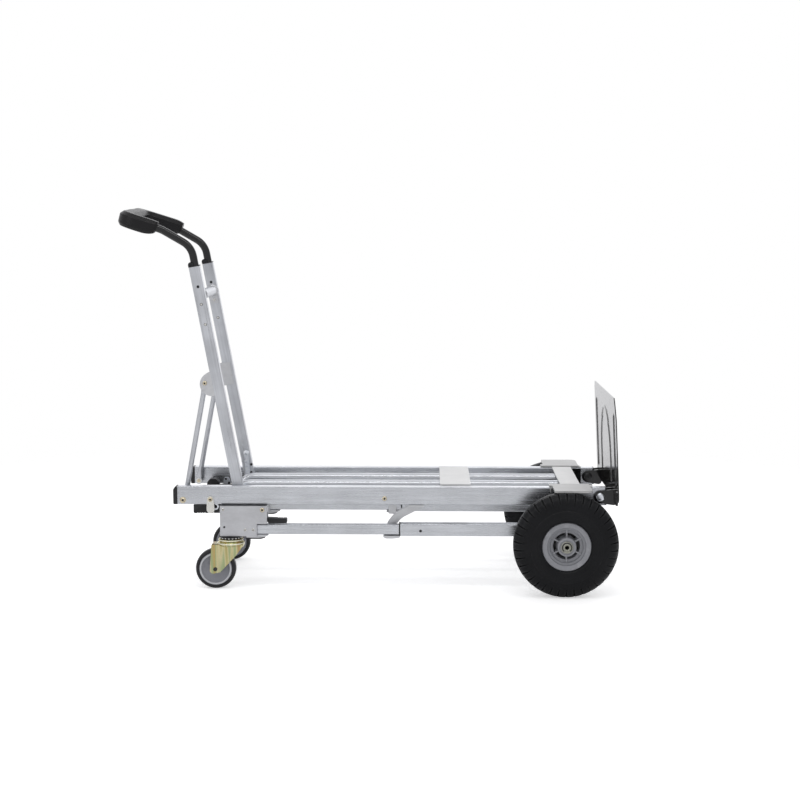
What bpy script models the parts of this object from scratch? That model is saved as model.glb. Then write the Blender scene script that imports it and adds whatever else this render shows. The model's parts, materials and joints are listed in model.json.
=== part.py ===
"""Convertible hand truck in its platform position, drawn at real size.

Frame: metres, +Z up, floor at Z = 0. +X runs from the handle end to the toe plate,
and +Y points to the left of a person who stands behind the handle. Pieces that exist
on both sides are named _left (+Y) and _right (-Y).
"""

import math

import bmesh
import bpy
from mathutils import Matrix, Vector

# ---- driving dimensions ----------------------------------------------------------
GAP = 0.0003                     # clearance between pieces that touch

AXLE = (0.480, 0.127)            # X, Z of the main axle
TYRE_RADIUS = 0.127
TYRE_Y = (0.196, 0.274)
RIM_RADIUS = 0.0593
AXLE_RADIUS = 0.010
AXLE_BORE = 0.005

RAIL_X = (-0.4725, 0.581)
RAIL_Y = (0.137, 0.163)
RAIL_Z = (0.2098, 0.2545)
RAIL_WALL = 0.003
CAP_X = -0.4812
SLOT_HALF = 0.0046               # half height of the foot slot in each rail's inner wall

DECK_TUBE_Y = 0.050
DECK_TUBE_RADIUS = 0.0125
DECK_TUBE_Z = 0.2405
DECK_TUBE_END = 0.520
PLATE_Z = (0.2533, 0.2575)

BRACE_FOOT = (-0.459, 0.2206)    # hinge of the brace rods on the rails
BRACE_TOP = (-0.405, 0.5073)     # hinge of the brace rods on the uprights
BRACE_Y = 0.120
BRACE_RADIUS = 0.00635
FOOT_PIN = (2 * BRACE_TOP[0] - BRACE_FOOT[0], BRACE_FOOT[1])
FOOT_TRAVEL = 2 * math.dist(BRACE_TOP, BRACE_FOOT)

UPRIGHT_Y = (0.1075, 0.1325)
UPRIGHT_HALF = 0.0125
UPRIGHT_LEAN = math.radians(10.05)
UPRIGHT_BASE = (-0.3277, 0.2206)  # point of the upright's axis at the foot pin's height
UPRIGHT_SPAN = (0.016, 0.5825)    # start and end along the axis

LOOP_RADIUS = 0.0095
GRIP_RADIUS = 0.0195

TOE_PIVOT = (0.569, 0.232)
TOE_TOP = (0.5965, 0.4785)
TOE_FOOT = (0.6135, 0.2090)
TOE_HALF_WIDTH = 0.2124
TOE_THICKNESS = 0.004
TOE_EAR = 0.005                  # thickness of the ears that straddle the rail
TOE_BACK = 0.6052                # X where the ears' web meets the plate
HINGE_SHANK = 0.006
BOLT_SHANK = 0.004
PIN_PLAY = 0.0003                # radial clearance round every hinge pin

STRUT_Y = 0.161
STRUT_Z = 0.149
OUTER_HALF = 0.015
INNER_HALF = 0.012
COLLAR_X = 0.078
HOUSING_X = (-0.366, -0.275, -0.250)
HOUSING_Y = (0.142, 0.180)
HOUSING_Z = (0.133, 0.164, 0.2088)
SHEET = 0.0025

SWIVEL_X = -0.3415
CASTER_AXLE = (-0.379, 0.050)
CASTER_RADIUS = 0.050
CASTER_HALF_WIDTH = 0.014

RELEASE_PIVOT = (-0.391, 0.2226)
RELEASE_BAR = (-0.391, 0.1965)

SIDES = {"left": 1, "right": -1}


# ---- materials -------------------------------------------------------------------
def material(name, colour, metallic, roughness):
    """A Principled material with one colour and finish."""
    made = bpy.data.materials.new(name)
    made.use_nodes = True
    shader = made.node_tree.nodes["Principled BSDF"]
    shader.inputs["Base Color"].default_value = (*colour, 1)
    shader.inputs["Metallic"].default_value = metallic
    shader.inputs["Roughness"].default_value = roughness
    return made


for old in list(bpy.data.objects):
    bpy.data.objects.remove(old, do_unlink=True)

ALUMINIUM = material("extruded_aluminium", (0.62, 0.64, 0.68), 1.0, 0.38)
PALE_PLATE = material("matte_plate", (0.78, 0.78, 0.77), 0.6, 0.5)
BLACK_GLOSS = material("black_gloss_paint", (0.015, 0.015, 0.017), 0.0, 0.2)
BLACK_PLASTIC = material("black_plastic", (0.02, 0.02, 0.022), 0.0, 0.45)
TYRE_RUBBER = material("tyre_rubber", (0.018, 0.018, 0.019), 0.0, 0.75)
GREY_HUB = material("grey_hub", (0.27, 0.28, 0.29), 0.0, 0.45)
ZINC = material("zinc_steel", (0.66, 0.64, 0.58), 1.0, 0.3)
YELLOW_ZINC = material("yellow_zinc", (0.62, 0.52, 0.3), 1.0, 0.28)
HOUSING_STEEL = material("galvanised_steel", (0.55, 0.56, 0.57), 0.8, 0.45)


# ---- building blocks -------------------------------------------------------------
def add_object(name, shape, finish):
    """Turn a bmesh into a named object with outward faces and a material."""
    bmesh.ops.recalc_face_normals(shape, faces=shape.faces)
    mesh = bpy.data.meshes.new(name)
    shape.to_mesh(mesh)
    shape.free()
    mesh.shade_smooth()
    mesh.set_sharp_from_angle(angle=math.radians(35))
    mesh.materials.append(finish)
    made = bpy.data.objects.new(name, mesh)
    bpy.context.collection.objects.link(made)
    return made


def box(x, y, z):
    """A box between pairs of X, Y and Z limits."""
    shape = bmesh.new()
    size = Vector((x[1] - x[0], y[1] - y[0], z[1] - z[0]))
    middle = Vector((x[1] + x[0], y[1] + y[0], z[1] + z[0])) / 2
    place = Matrix.Translation(middle) @ Matrix.Diagonal((*size, 1))
    bmesh.ops.create_cube(shape, size=1, matrix=place)
    return shape


def prism(outline, y):
    """An outline of (x, z) points, extruded from y[0] to y[1]."""
    shape = bmesh.new()
    base = [shape.verts.new((px, y[0], pz)) for px, pz in outline]
    face = shape.faces.new(base)
    grown = bmesh.ops.extrude_face_region(shape, geom=[face])
    moved = [item for item in grown["geom"] if isinstance(item, bmesh.types.BMVert)]
    bmesh.ops.translate(shape, verts=moved, vec=(0, y[1] - y[0], 0))
    return shape


def turned(profile, centre, sides, axis="Y", closed=True):
    """A closed (radius, along) profile turned about a Y or Z axis through centre."""
    shape = bmesh.new()
    rings = []
    for step in range(sides):
        angle = 2 * math.pi * step / sides
        ring = []
        for radius, along in profile:
            a = radius * math.cos(angle)
            b = radius * math.sin(angle)
            if axis == "Y":
                ring.append(shape.verts.new((centre[0] + a, along, centre[1] + b)))
            else:
                ring.append(shape.verts.new((centre[0] + a, centre[1] + b, along)))
        rings.append(ring)
    last = len(profile) if closed else len(profile) - 1
    for step in range(sides):
        near, far = rings[step], rings[(step + 1) % sides]
        for index in range(last):
            after = (index + 1) % len(profile)
            shape.faces.new((near[index], near[after], far[after], far[index]))
    if not closed:
        shape.faces.new([ring[0] for ring in rings])
        shape.faces.new([ring[-1] for ring in rings])
    return shape


def rod(centre, radius, y, sides=24):
    """A solid round bar along Y."""
    return turned([(radius, y[0]), (radius, y[1])], centre, sides, closed=False)


def post(centre, radius, z, sides=24):
    """A solid round bar along Z."""
    return turned([(radius, z[0]), (radius, z[1])], centre, sides, "Z", closed=False)


def ring(centre, radii, y, sides=32):
    """A ring along Y with an inner and an outer radius."""
    low, high = radii
    profile = [(high, y[0]), (high, y[1]), (low, y[1]), (low, y[0])]
    return turned(profile, centre, sides)


def sweep(path, radius, sides=12):
    """A solid round tube along 3D points."""
    shape = bmesh.new()
    count = len(path)
    normal = None
    rings = []
    for index, point in enumerate(path):
        before = path[max(index - 1, 0)]
        after = path[min(index + 1, count - 1)]
        along = (after - before).normalized()
        if normal is None:
            normal = along.orthogonal().normalized()
        normal = (normal - along * normal.dot(along)).normalized()
        side = along.cross(normal)
        loop = []
        for step in range(sides):
            angle = 2 * math.pi * step / sides
            offset = normal * math.cos(angle) + side * math.sin(angle)
            loop.append(shape.verts.new(point + offset * radius))
        rings.append(loop)
    for near, far in zip(rings, rings[1:]):
        for step in range(sides):
            after = (step + 1) % sides
            shape.faces.new((near[step], near[after], far[after], far[step]))
    shape.faces.new(rings[0])
    shape.faces.new(rings[-1])
    return shape


def combine(base, shape, operation):
    """Cut a shape from base, or join one to it, with an exact Boolean."""
    tool = add_object("tool_" + base.name, shape, base.data.materials[0])
    tool.hide_render = True
    tool.hide_viewport = True
    tool.display_type = "WIRE"
    step = base.modifiers.new(operation.lower(), "BOOLEAN")
    step.operation = operation
    step.object = tool


def cut(base, shape):
    combine(base, shape, "DIFFERENCE")


def join(base, shape):
    combine(base, shape, "UNION")


def span(side, near, far):
    """Y limits of a piece between two distances from the middle plane."""
    return tuple(sorted((side * near, side * far)))


def arc(centre, radius, start, end, steps):
    """Points (x, z) on an arc, angles in degrees."""
    points = []
    for step in range(steps + 1):
        angle = math.radians(start + (end - start) * step / steps)
        points.append((centre[0] + radius * math.cos(angle),
                       centre[1] + radius * math.sin(angle)))
    return points


def on_upright(along, across=0.0):
    """The (x, z) point at a distance up an upright's axis and towards the handle end."""
    s, c = math.sin(UPRIGHT_LEAN), math.cos(UPRIGHT_LEAN)
    return (UPRIGHT_BASE[0] - along * s - across * c,
            UPRIGHT_BASE[1] + along * c - across * s)


# ---- fixed frame -----------------------------------------------------------------
def rail(name, side):
    """Hollow side rail, slotted inside for the handle's foot."""
    made = add_object("rail_" + name, box(RAIL_X, span(side, *RAIL_Y), RAIL_Z), ALUMINIUM)
    inside_y = span(side, RAIL_Y[0] + RAIL_WALL, RAIL_Y[1] - RAIL_WALL)
    inside_z = (RAIL_Z[0] + RAIL_WALL, RAIL_Z[1] - RAIL_WALL)
    cut(made, box((RAIL_X[0] - 0.01, RAIL_X[1] + 0.01), inside_y, inside_z))
    slot_x = (FOOT_PIN[0] - 0.008, BRACE_FOOT[0] + FOOT_TRAVEL + 0.008)
    slot_z = (FOOT_PIN[1] - SLOT_HALF, FOOT_PIN[1] + SLOT_HALF)
    cut(made, box(slot_x, span(side, RAIL_Y[0] - 0.001, RAIL_Y[0] + 0.004), slot_z))
    across = span(side, RAIL_Y[0] - 0.001, RAIL_Y[1] + 0.001)
    cut(made, rod(BRACE_FOOT, BOLT_SHANK + PIN_PLAY, across))
    cut(made, rod(TOE_PIVOT, HINGE_SHANK + PIN_PLAY, across))
    cut(made, rod(RELEASE_PIVOT, BOLT_SHANK + PIN_PLAY, span(side, 0.159, 0.164)))


def rail_cap(name, side):
    """Black plug that closes the rail at the handle end."""
    outline = [(RAIL_X[0] - GAP, RAIL_Z[0]), (RAIL_X[0] - GAP, RAIL_Z[1]),
               (CAP_X + 0.004, RAIL_Z[1] - 0.001), (CAP_X, RAIL_Z[1] - 0.006),
               (CAP_X, RAIL_Z[0] + 0.003), (CAP_X + 0.003, RAIL_Z[0])]
    made = add_object("rail_cap_" + name, prism(outline, span(side, *RAIL_Y)), BLACK_PLASTIC)
    inset = RAIL_WALL + GAP
    join(made, box((CAP_X + 0.004, RAIL_X[0] + 0.0035),
                   span(side, RAIL_Y[0] + inset, RAIL_Y[1] - inset),
                   (RAIL_Z[0] + inset, RAIL_Z[1] - inset)))


def deck_tube(name, side):
    """Inner deck tube, bent down onto the handle end bar."""
    y = side * DECK_TUBE_Y
    bend = 0.045
    start = (-0.3065, DECK_TUBE_Z - bend)
    path = [Vector((DECK_TUBE_END, y, DECK_TUBE_Z))]
    for x, z in arc(start, bend, 90, 152, 6):
        path.append(Vector((x, y, z)))
    along = (path[-1] - path[-2]).normalized()
    path.append(path[-1] + along * 0.016)
    made = add_object("deck_tube_" + name, sweep(path, DECK_TUBE_RADIUS, 16), ALUMINIUM)
    cut(made, box((-0.40, -0.30), (y - 0.03, y + 0.03), (0.18, 0.2095 + GAP)))


def handle_end_bar():
    """Flat bar that ties the deck tubes to the rails at the handle end."""
    half = RAIL_Y[0] - GAP
    made = add_object("handle_end_bar", box((-0.362, -0.336), (-half, half), (0.2015, 0.2095)),
                      ALUMINIUM)
    for side in SIDES.values():
        join(made, box((-0.362, -0.336), span(side, 0.1335, half), (0.2025, 0.2155)))


def cross_plates():
    """Deck plates on top of the tubes, and the bar under their toe ends."""
    half = RAIL_Y[0] - GAP
    bar_z = (0.2135, DECK_TUBE_Z - DECK_TUBE_RADIUS - GAP)
    add_object("mid_cross_plate", box((0.176, 0.252), (-half, half), PLATE_Z), PALE_PLATE)
    add_object("toe_cross_plate", box((0.4735, 0.5226), (-half, half), PLATE_Z), PALE_PLATE)
    add_object("toe_end_bar", box((0.486, 0.511), (-half, half), bar_z), ALUMINIUM)


def fender(name, side):
    """Flat guard above the wheel, on the rail's top face."""
    low, high = RAIL_Z[1] + GAP, PLATE_Z[1]
    corner = 0.016
    inner, outer = 0.1385, 0.2405
    x0, x1 = 0.4446, 0.5438
    outline = [(x0, inner), (x1, inner)]
    outline += arc((x1 - corner, outer - corner), corner, 0, 90, 4)
    outline += arc((x0 + corner, outer - corner), corner, 90, 180, 4)
    shape = prism(outline, (low, high))
    turn = Matrix(((1, 0, 0, 0), (0, 0, side, 0), (0, 1, 0, 0), (0, 0, 0, 1)))
    bmesh.ops.transform(shape, matrix=turn, verts=shape.verts)
    add_object("fender_" + name, shape, PALE_PLATE)


def axle_bracket(name, side):
    """Plate under the rail that carries the main axle."""
    foot = arc(AXLE, 0.020, 180, 360, 8)
    outline = foot + [(0.520, RAIL_Z[0] - GAP), (0.440, RAIL_Z[0] - GAP)]
    made = add_object("axle_bracket_" + name, prism(outline, span(side, 0.1375, 0.1435)),
                      BLACK_GLOSS)
    cut(made, rod(AXLE, AXLE_RADIUS + GAP, span(side, 0.13, 0.15)))


def axle():
    """Hollow main axle, from hub to hub."""
    add_object("axle", ring(AXLE, (AXLE_BORE, AXLE_RADIUS), (-0.2735, 0.2735)), ZINC)


def brace_foot_bolt(name, side):
    """Bolt through the rail on which the brace rod hinges."""
    seat = RAIL_Y[1] + GAP
    profile = [(0.0045, side * 0.167), (0.0072, side * 0.1655), (0.0072, side * seat),
               (BOLT_SHANK, side * seat), (BOLT_SHANK, side * 0.112)]
    shape = turned(profile, BRACE_FOOT, 20, closed=False)
    add_object("brace_foot_bolt_" + name, shape, ZINC)


def toe_hinge_bolt(name, side):
    """Large-headed bolt and nut on which the toe plate folds."""
    seat = RAIL_Y[1] + TOE_EAR + 2 * GAP
    nut = RAIL_Y[0] - TOE_EAR - 2 * GAP
    profile = [(0.0085, 0.1745), (0.010, 0.173), (0.010, seat), (HINGE_SHANK, seat),
               (HINGE_SHANK, nut), (0.0105, nut), (0.0105, nut - 0.005), (0.008, nut - 0.0065)]
    profile = [(radius, side * y) for radius, y in profile]
    add_object("toe_hinge_bolt_" + name, turned(profile, TOE_PIVOT, 24, closed=False), ZINC)


# ---- toe plate -------------------------------------------------------------------
def on_toe(z, across):
    """The (x, z) point at a height on the plate's outer face, moved across in X."""
    part = (z - TOE_FOOT[1]) / (TOE_TOP[1] - TOE_FOOT[1])
    return (TOE_FOOT[0] + part * (TOE_TOP[0] - TOE_FOOT[0]) + across, z)


def toe_plate():
    """Steel load plate, leaning slightly over the deck, with two straight pressed beads."""
    lean = math.atan2(TOE_FOOT[0] - TOE_TOP[0], TOE_TOP[1] - TOE_FOOT[1])
    inward = Vector((-math.cos(lean), 0, -math.sin(lean))) * TOE_THICKNESS
    outline = [TOE_FOOT, TOE_TOP, (TOE_TOP[0] + inward.x, TOE_TOP[1] + inward.z),
               (TOE_FOOT[0] + inward.x, TOE_FOOT[1] + inward.z)]
    made = add_object("toe_plate", prism(outline, (-TOE_HALF_WIDTH, TOE_HALF_WIDTH)),
                      BLACK_GLOSS)
    low, high = TOE_FOOT[1] + 0.05, TOE_TOP[1] - 0.05
    proud = 0.0055
    bead = [on_toe(low, inward.x / 2), on_toe(high, inward.x / 2),
            on_toe(high - 0.006, inward.x / 2 - proud), on_toe(low, inward.x / 2 - proud)]
    for y in (-0.150, 0.150):
        join(made, prism(bead, (y - 0.006, y + 0.006)))


def toe_bracket(name, side):
    """Clevis that hangs the toe plate on its hinge bolt, with an ear each side of the rail."""
    outline = arc(TOE_PIVOT, 0.016, 100, 270, 9)
    outline += [(0.575, 0.2105), (TOE_BACK + 0.001, 0.2105), (TOE_BACK, 0.251), (0.580, 0.251)]
    outer = span(side, RAIL_Y[1] + GAP, RAIL_Y[1] + GAP + TOE_EAR)
    inner = span(side, RAIL_Y[0] - GAP - TOE_EAR, RAIL_Y[0] - GAP)
    made = add_object("toe_bracket_" + name, prism(outline, outer), BLACK_GLOSS)
    join(made, prism(outline, inner))
    join(made, box((0.600, TOE_BACK - 0.0004), span(side, 0.1330, 0.200), (0.214, 0.2475)))
    cut(made, rod(TOE_PIVOT, HINGE_SHANK + PIN_PLAY, span(side, 0.12, 0.18)))


# ---- main wheels -----------------------------------------------------------------
def main_wheel(name, side):
    """Tyre and hub of one main wheel."""
    inner, outer = TYRE_Y
    wall = 0.012
    middle = (inner + outer) / 2
    section = [(RIM_RADIUS, inner + 0.010), (RIM_RADIUS, outer - 0.010),
               (0.064, outer - 0.004), (0.078, outer), (0.096, outer), (0.110, outer - 0.003),
               (0.1205, outer - wall), (0.1255, outer - 0.022), (TYRE_RADIUS, middle),
               (0.1255, inner + 0.022), (0.1205, inner + wall), (0.110, inner + 0.003),
               (0.096, inner), (0.078, inner), (0.064, inner + 0.004)]
    profile = [(radius, side * y) for radius, y in section]
    add_object("tyre_" + name, turned(profile, AXLE, 40), TYRE_RUBBER)

    bore = AXLE_RADIUS + GAP
    rim = RIM_RADIUS - GAP
    section = [(bore, 0.180), (0.0215, 0.180), (0.0215, 0.223), (0.046, 0.229),
               (0.052, inner + 0.012), (rim, inner + 0.009), (rim, outer - 0.009),
               (0.053, outer - 0.010), (0.048, 0.241), (0.0215, 0.236), (0.0215, 0.268),
               (0.018, 0.2705), (bore, 0.2705)]
    profile = [(radius, side * y) for radius, y in section]
    add_object("hub_" + name, turned(profile, AXLE, 28), GREY_HUB)


# ---- folding handle --------------------------------------------------------------
def upright(name, side):
    """Square handle leg with a socket for the loop tube."""
    low, high = UPRIGHT_SPAN
    half = UPRIGHT_HALF
    outline = [on_upright(low, -half), on_upright(high, -half),
               on_upright(high, half), on_upright(low, half)]
    made = add_object("upright_" + name, prism(outline, span(side, *UPRIGHT_Y)), ALUMINIUM)
    y = side * BRACE_Y
    top, bottom = on_upright(high + 0.01), on_upright(high - 0.040)
    socket = [Vector((top[0], y, top[1])), Vector((bottom[0], y, bottom[1]))]
    cut(made, sweep(socket, LOOP_RADIUS + GAP, 16))


def upright_collar(name, side):
    """Black moulded cap where the loop tube enters the upright."""
    base = UPRIGHT_SPAN[1] + GAP
    outline = [on_upright(base, -0.0128), on_upright(base + 0.004, -0.0128),
               on_upright(base + 0.011, -0.0112), on_upright(base + 0.013, 0.0098),
               on_upright(base + 0.005, 0.0128), on_upright(base, 0.0128)]
    made = add_object("upright_collar_" + name, prism(outline, span(side, 0.1072, 0.1328)),
                      BLACK_PLASTIC)
    y = side * BRACE_Y
    top, bottom = on_upright(base + 0.03), on_upright(base - 0.02)
    bore = [Vector((top[0], y, top[1])), Vector((bottom[0], y, bottom[1]))]
    cut(made, sweep(bore, LOOP_RADIUS + GAP, 16))


def loop_half():
    """Points of the loop's centre line on the right side, socket to middle."""
    start = on_upright(UPRIGHT_SPAN[1] - 0.038)
    neck = on_upright(UPRIGHT_SPAN[1] + 0.026)
    points = [start, neck]
    bend = 0.050
    first = 90 + math.degrees(UPRIGHT_LEAN)
    slope = 150
    centre = (neck[0] - bend * math.sin(math.radians(first)),
              neck[1] + bend * math.cos(math.radians(first)))
    points += arc(centre, bend, first - 90, slope - 90, 5)[1:]
    knee = points[-1]
    run = 0.060
    crook = (knee[0] + run * math.cos(math.radians(slope)),
             knee[1] + run * math.sin(math.radians(slope)))
    points.append(crook)
    return [Vector((x, -BRACE_Y, z)) for x, z in points]


def loop_path():
    """The whole U of the loop, from one upright to the other."""
    leg = loop_half()
    rise = math.radians(19)
    ahead = Vector((-math.cos(rise), 0, math.sin(rise)))
    corner = 0.035
    turn_start = Vector((-0.5609, -BRACE_Y, 0.8995))
    leg.append(turn_start - ahead * 0.030)
    for step in range(7):
        angle = math.radians(15 * step)
        out = ahead * corner * math.sin(angle)
        leg.append(turn_start + out + Vector((0, corner * (1 - math.cos(angle)), 0)))
    other = [Vector((point.x, -point.y, point.z)) for point in reversed(leg)]
    return leg + other


def handle_loop():
    """Black steel loop tube and the thick grip moulded round its end."""
    path = loop_path()
    add_object("handle_loop", sweep(path, LOOP_RADIUS, 10), BLACK_GLOSS)
    grip_start = len(loop_half())
    covered = path[grip_start:len(path) - grip_start]
    lead = (covered[0] - covered[1]).normalized() * 0.012
    tail = (covered[-1] - covered[-2]).normalized() * 0.012
    covered = [covered[0] + lead] + covered + [covered[-1] + tail]
    made = add_object("handle_grip", sweep(covered, GRIP_RADIUS, 12), BLACK_PLASTIC)
    cut(made, sweep(path, LOOP_RADIUS + 2 * GAP, 10))


def handle_cross_bar():
    """Round bar between the uprights, under the loop."""
    half = UPRIGHT_Y[0] - GAP
    centre = on_upright(0.5113)
    add_object("handle_cross_bar", rod(centre, 0.0125, (-half, half), 24), ALUMINIUM)


def gusset(name, side):
    """Half-round clevis round the upright, with the brace rod's upper hinge pin."""
    along = 0.2912
    half = UPRIGHT_HALF + GAP
    lobe = 0.0275
    steps = 10
    outline = [on_upright(along - lobe, -half - 0.002), on_upright(along + lobe, -half - 0.002)]
    for step in range(steps + 1):
        angle = math.pi * step / steps
        outline.append(on_upright(along + lobe * math.cos(angle), half + lobe * math.sin(angle)))
    made = add_object("gusset_" + name, prism(outline, span(side, 0.1047, 0.1353)), ALUMINIUM)
    room = [on_upright(along - 0.04, -half), on_upright(along + 0.04, -half),
            on_upright(along + 0.04, 0.05), on_upright(along - 0.04, 0.05)]
    cut(made, prism(room, span(side, UPRIGHT_Y[0] - GAP, UPRIGHT_Y[1] + GAP)))
    join(made, rod(BRACE_TOP, BOLT_SHANK, span(side, 0.1040, 0.1362), 20))


def foot_shoe(name, side):
    """Foot of the upright, with the pin that runs in the rail's slot."""
    outline = arc(FOOT_PIN, 0.009, 120, 270, 8)
    outline += [(-0.316, 0.2116), on_upright(0.0157, -0.0125), on_upright(0.0157, 0.0125)]
    made = add_object("foot_shoe_" + name, prism(outline, span(side, *UPRIGHT_Y)),
                      BLACK_PLASTIC)
    join(made, rod(FOOT_PIN, BOLT_SHANK, span(side, 0.125, 0.155), 16))


def brace_rod(name, side):
    """Round brace between the rail and the upright, with an eye at each end."""
    y = span(side, 0.1137, 0.1263)
    foot = Vector((BRACE_FOOT[0], side * BRACE_Y, BRACE_FOOT[1]))
    top = Vector((BRACE_TOP[0], side * BRACE_Y, BRACE_TOP[1]))
    made = add_object("brace_rod_" + name, sweep([foot, top], BRACE_RADIUS, 16), ALUMINIUM)
    for centre in (BRACE_FOOT, BRACE_TOP):
        join(made, rod(centre, 0.009, y, 20))
        cut(made, rod(centre, BOLT_SHANK + PIN_PLAY, span(side, 0.11, 0.13), 20))


# ---- caster frame ----------------------------------------------------------------
def square(side, half):
    """Y and Z limits of a square strut section."""
    return span(side, STRUT_Y - half, STRUT_Y + half), (STRUT_Z - half, STRUT_Z + half)


def outer_strut(name, side):
    """Square tube that hangs on the axle and takes the sliding inner tube."""
    y, z = square(side, OUTER_HALF)
    made = add_object("outer_strut_" + name, box((COLLAR_X, 0.478), y, z), ALUMINIUM)
    join(made, rod(AXLE, 0.019, y, 28))
    room_y, room_z = square(side, INNER_HALF + GAP)
    cut(made, box((COLLAR_X - 0.01, 0.400), room_y, room_z))
    cut(made, rod(AXLE, AXLE_RADIUS + GAP, span(side, 0.14, 0.18), 28))


def stay_arm(name, side):
    """Curved stay from the strut's end up to the rail, with a saddle under the tube."""
    route = [(0.0520, 0.1290), (0.0535, 0.1500), (0.0600, 0.1655), (0.0720, 0.1785),
             (0.0870, 0.1885), (0.1060, 0.1985), (0.1250, 0.2080)]
    half = 0.0095
    upper, lower = [], []
    for index, (x, z) in enumerate(route):
        before = route[max(index - 1, 0)]
        after = route[min(index + 1, len(route) - 1)]
        along = Vector((after[0] - before[0], after[1] - before[1])).normalized()
        upper.append((x - along.y * half, z + along.x * half))
        lower.append((x + along.y * half, z - along.x * half))
    outline = upper + lower[::-1]
    made = add_object("stay_arm_" + name, prism(outline, span(side, 0.1375, 0.1455)), ALUMINIUM)
    join(made, box((0.035, 0.0765), span(side, 0.1385, 0.174), (0.1275, 0.1335)))
    join(made, box((0.060, 0.100), span(side, 0.1385, 0.172), (0.1285, 0.1335)))
    join(made, box((0.098, 0.134), span(side, 0.1385, 0.160), (0.2050, 0.2090)))
    cut(made, box((0.02, 0.2), span(side, 0.13, 0.18), (0.2093, 0.25)))


def inner_tube(name, side):
    """Square tube that slides in the outer strut and carries the caster housing."""
    y, z = square(side, INNER_HALF)
    add_object("inner_tube_" + name, box((HOUSING_X[1] + GAP, 0.260), y, z), ALUMINIUM)


def caster_housing(name, side):
    """Folded sheet box that carries a caster, stepped over the inner tube."""
    left, step_x, right = HOUSING_X
    low, step_z, high = HOUSING_Z
    outline = [(left, low), (step_x, low), (step_x, step_z), (right, step_z), (right, high),
               (left, high)]
    made = add_object("caster_housing_" + name, prism(outline, span(side, *HOUSING_Y)),
                      HOUSING_STEEL)
    y = span(side, HOUSING_Y[0] + SHEET, HOUSING_Y[1] - SHEET)
    top = high + 0.01
    cut(made, box((left + SHEET, step_x - SHEET), y, (low + SHEET, top)))
    cut(made, box((step_x - 0.01, right - SHEET), y, (step_z + SHEET, top)))
    cut(made, box((right - 0.005, right + 0.005), span(side, 0.1515, 0.1705), (0.159, 0.192)))


def housing_lever(name, side):
    """Black latch lever that comes out of the housing above the inner tube."""
    outline = [(-0.262, 0.1685), (-0.262, 0.1755), (-0.250, 0.1775), (-0.206, 0.1755),
               (-0.2017, 0.1735), (-0.2017, 0.1655), (-0.206, 0.1635), (-0.2475, 0.1635),
               (-0.249, 0.1675)]
    add_object("housing_lever_" + name, prism(outline, span(side, 0.152, 0.170)), BLACK_PLASTIC)


def caster_cross_tube():
    """Round tube that ties the two caster housings together."""
    half = HOUSING_Y[0] - GAP
    add_object("caster_cross_tube", rod((-0.305, 0.172), 0.0125, (-half, half)), ALUMINIUM)


def caster(name, side):
    """One swivel caster: top plate, fork with its axle, tyre and hub."""
    y = side * STRUT_Y
    seat = HOUSING_Z[0] - GAP
    made = add_object("caster_top_plate_" + name,
                      box((SWIVEL_X - 0.036, SWIVEL_X + 0.036), (y - 0.019, y + 0.019),
                          (seat - 0.003, seat)), ZINC)
    join(made, post((SWIVEL_X, y), 0.024, (0.1228, seat - 0.002), 28))

    made = add_object("caster_fork_" + name, post((SWIVEL_X, y), 0.034, (0.1085, 0.1225), 32),
                      YELLOW_ZINC)
    leg = arc(CASTER_AXLE, 0.013, 175, 320, 7)
    leg += [(-0.3273, 0.0847), (-0.3080, 0.1120), (-0.3750, 0.1120), (-0.3870, 0.1080)]
    for edge in (-1, 1):
        near, far = y + edge * 0.0160, y + edge * 0.0190
        join(made, prism(leg, tuple(sorted((near, far)))))
    join(made, rod(CASTER_AXLE, BOLT_SHANK, (y - 0.0215, y + 0.0215), 16))

    wide = CASTER_HALF_WIDTH
    tread = [(0.0410, wide), (0.0460, wide - 0.0005), (0.0490, wide - 0.004),
             (CASTER_RADIUS, wide - 0.009), (CASTER_RADIUS, 0.009 - wide),
             (0.0490, 0.004 - wide), (0.0460, 0.0005 - wide), (0.0410, -wide)]
    profile = [(radius, y + along) for radius, along in tread]
    add_object("caster_tyre_" + name, turned(profile, CASTER_AXLE, 28), TYRE_RUBBER)
    bore = BOLT_SHANK + PIN_PLAY
    rim = 0.0410 - GAP
    web = [(bore, 0.0145), (0.012, 0.0145), (0.014, 0.006), (0.033, 0.006), (0.036, 0.0125),
           (rim, 0.0125), (rim, -0.0125), (0.036, -0.0125), (0.033, -0.006), (0.014, -0.006),
           (0.012, -0.0145), (bore, -0.0145)]
    profile = [(radius, y + along) for radius, along in web]
    add_object("caster_hub_" + name, turned(profile, CASTER_AXLE, 24), GREY_HUB)


# ---- release handle --------------------------------------------------------------
def release_handle():
    """Swinging yoke under the rails that frees the caster frame, and its grip."""
    half = 0.1663
    made = add_object("release_yoke", rod(RELEASE_BAR, 0.005, (-half, half), 16), ZINC)
    for side in SIDES.values():
        arm = arc(RELEASE_PIVOT, 0.0085, 0, 180, 6)
        arm += arc((RELEASE_BAR[0] + 0.0005, RELEASE_BAR[1] + 0.0015), 0.0100, 180, 360, 6)
        join(made, prism(arm, span(side, RAIL_Y[1] + GAP, half)))
        join(made, rod(RELEASE_PIVOT, BOLT_SHANK, span(side, 0.1605, 0.1645), 16))
    outline = [(-0.433, 0.1850), (-0.430, 0.1830), (-0.371, 0.1830), (-0.368, 0.1850),
               (-0.368, 0.2080), (-0.370, 0.2093), (-0.400, 0.2093), (-0.433, 0.2035)]
    edge = 0.1355
    made = add_object("release_grip", prism(outline, (-edge, edge)), BLACK_PLASTIC)
    cut(made, rod(RELEASE_BAR, 0.005 + GAP, (-edge - 0.01, edge + 0.01), 16))


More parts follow.
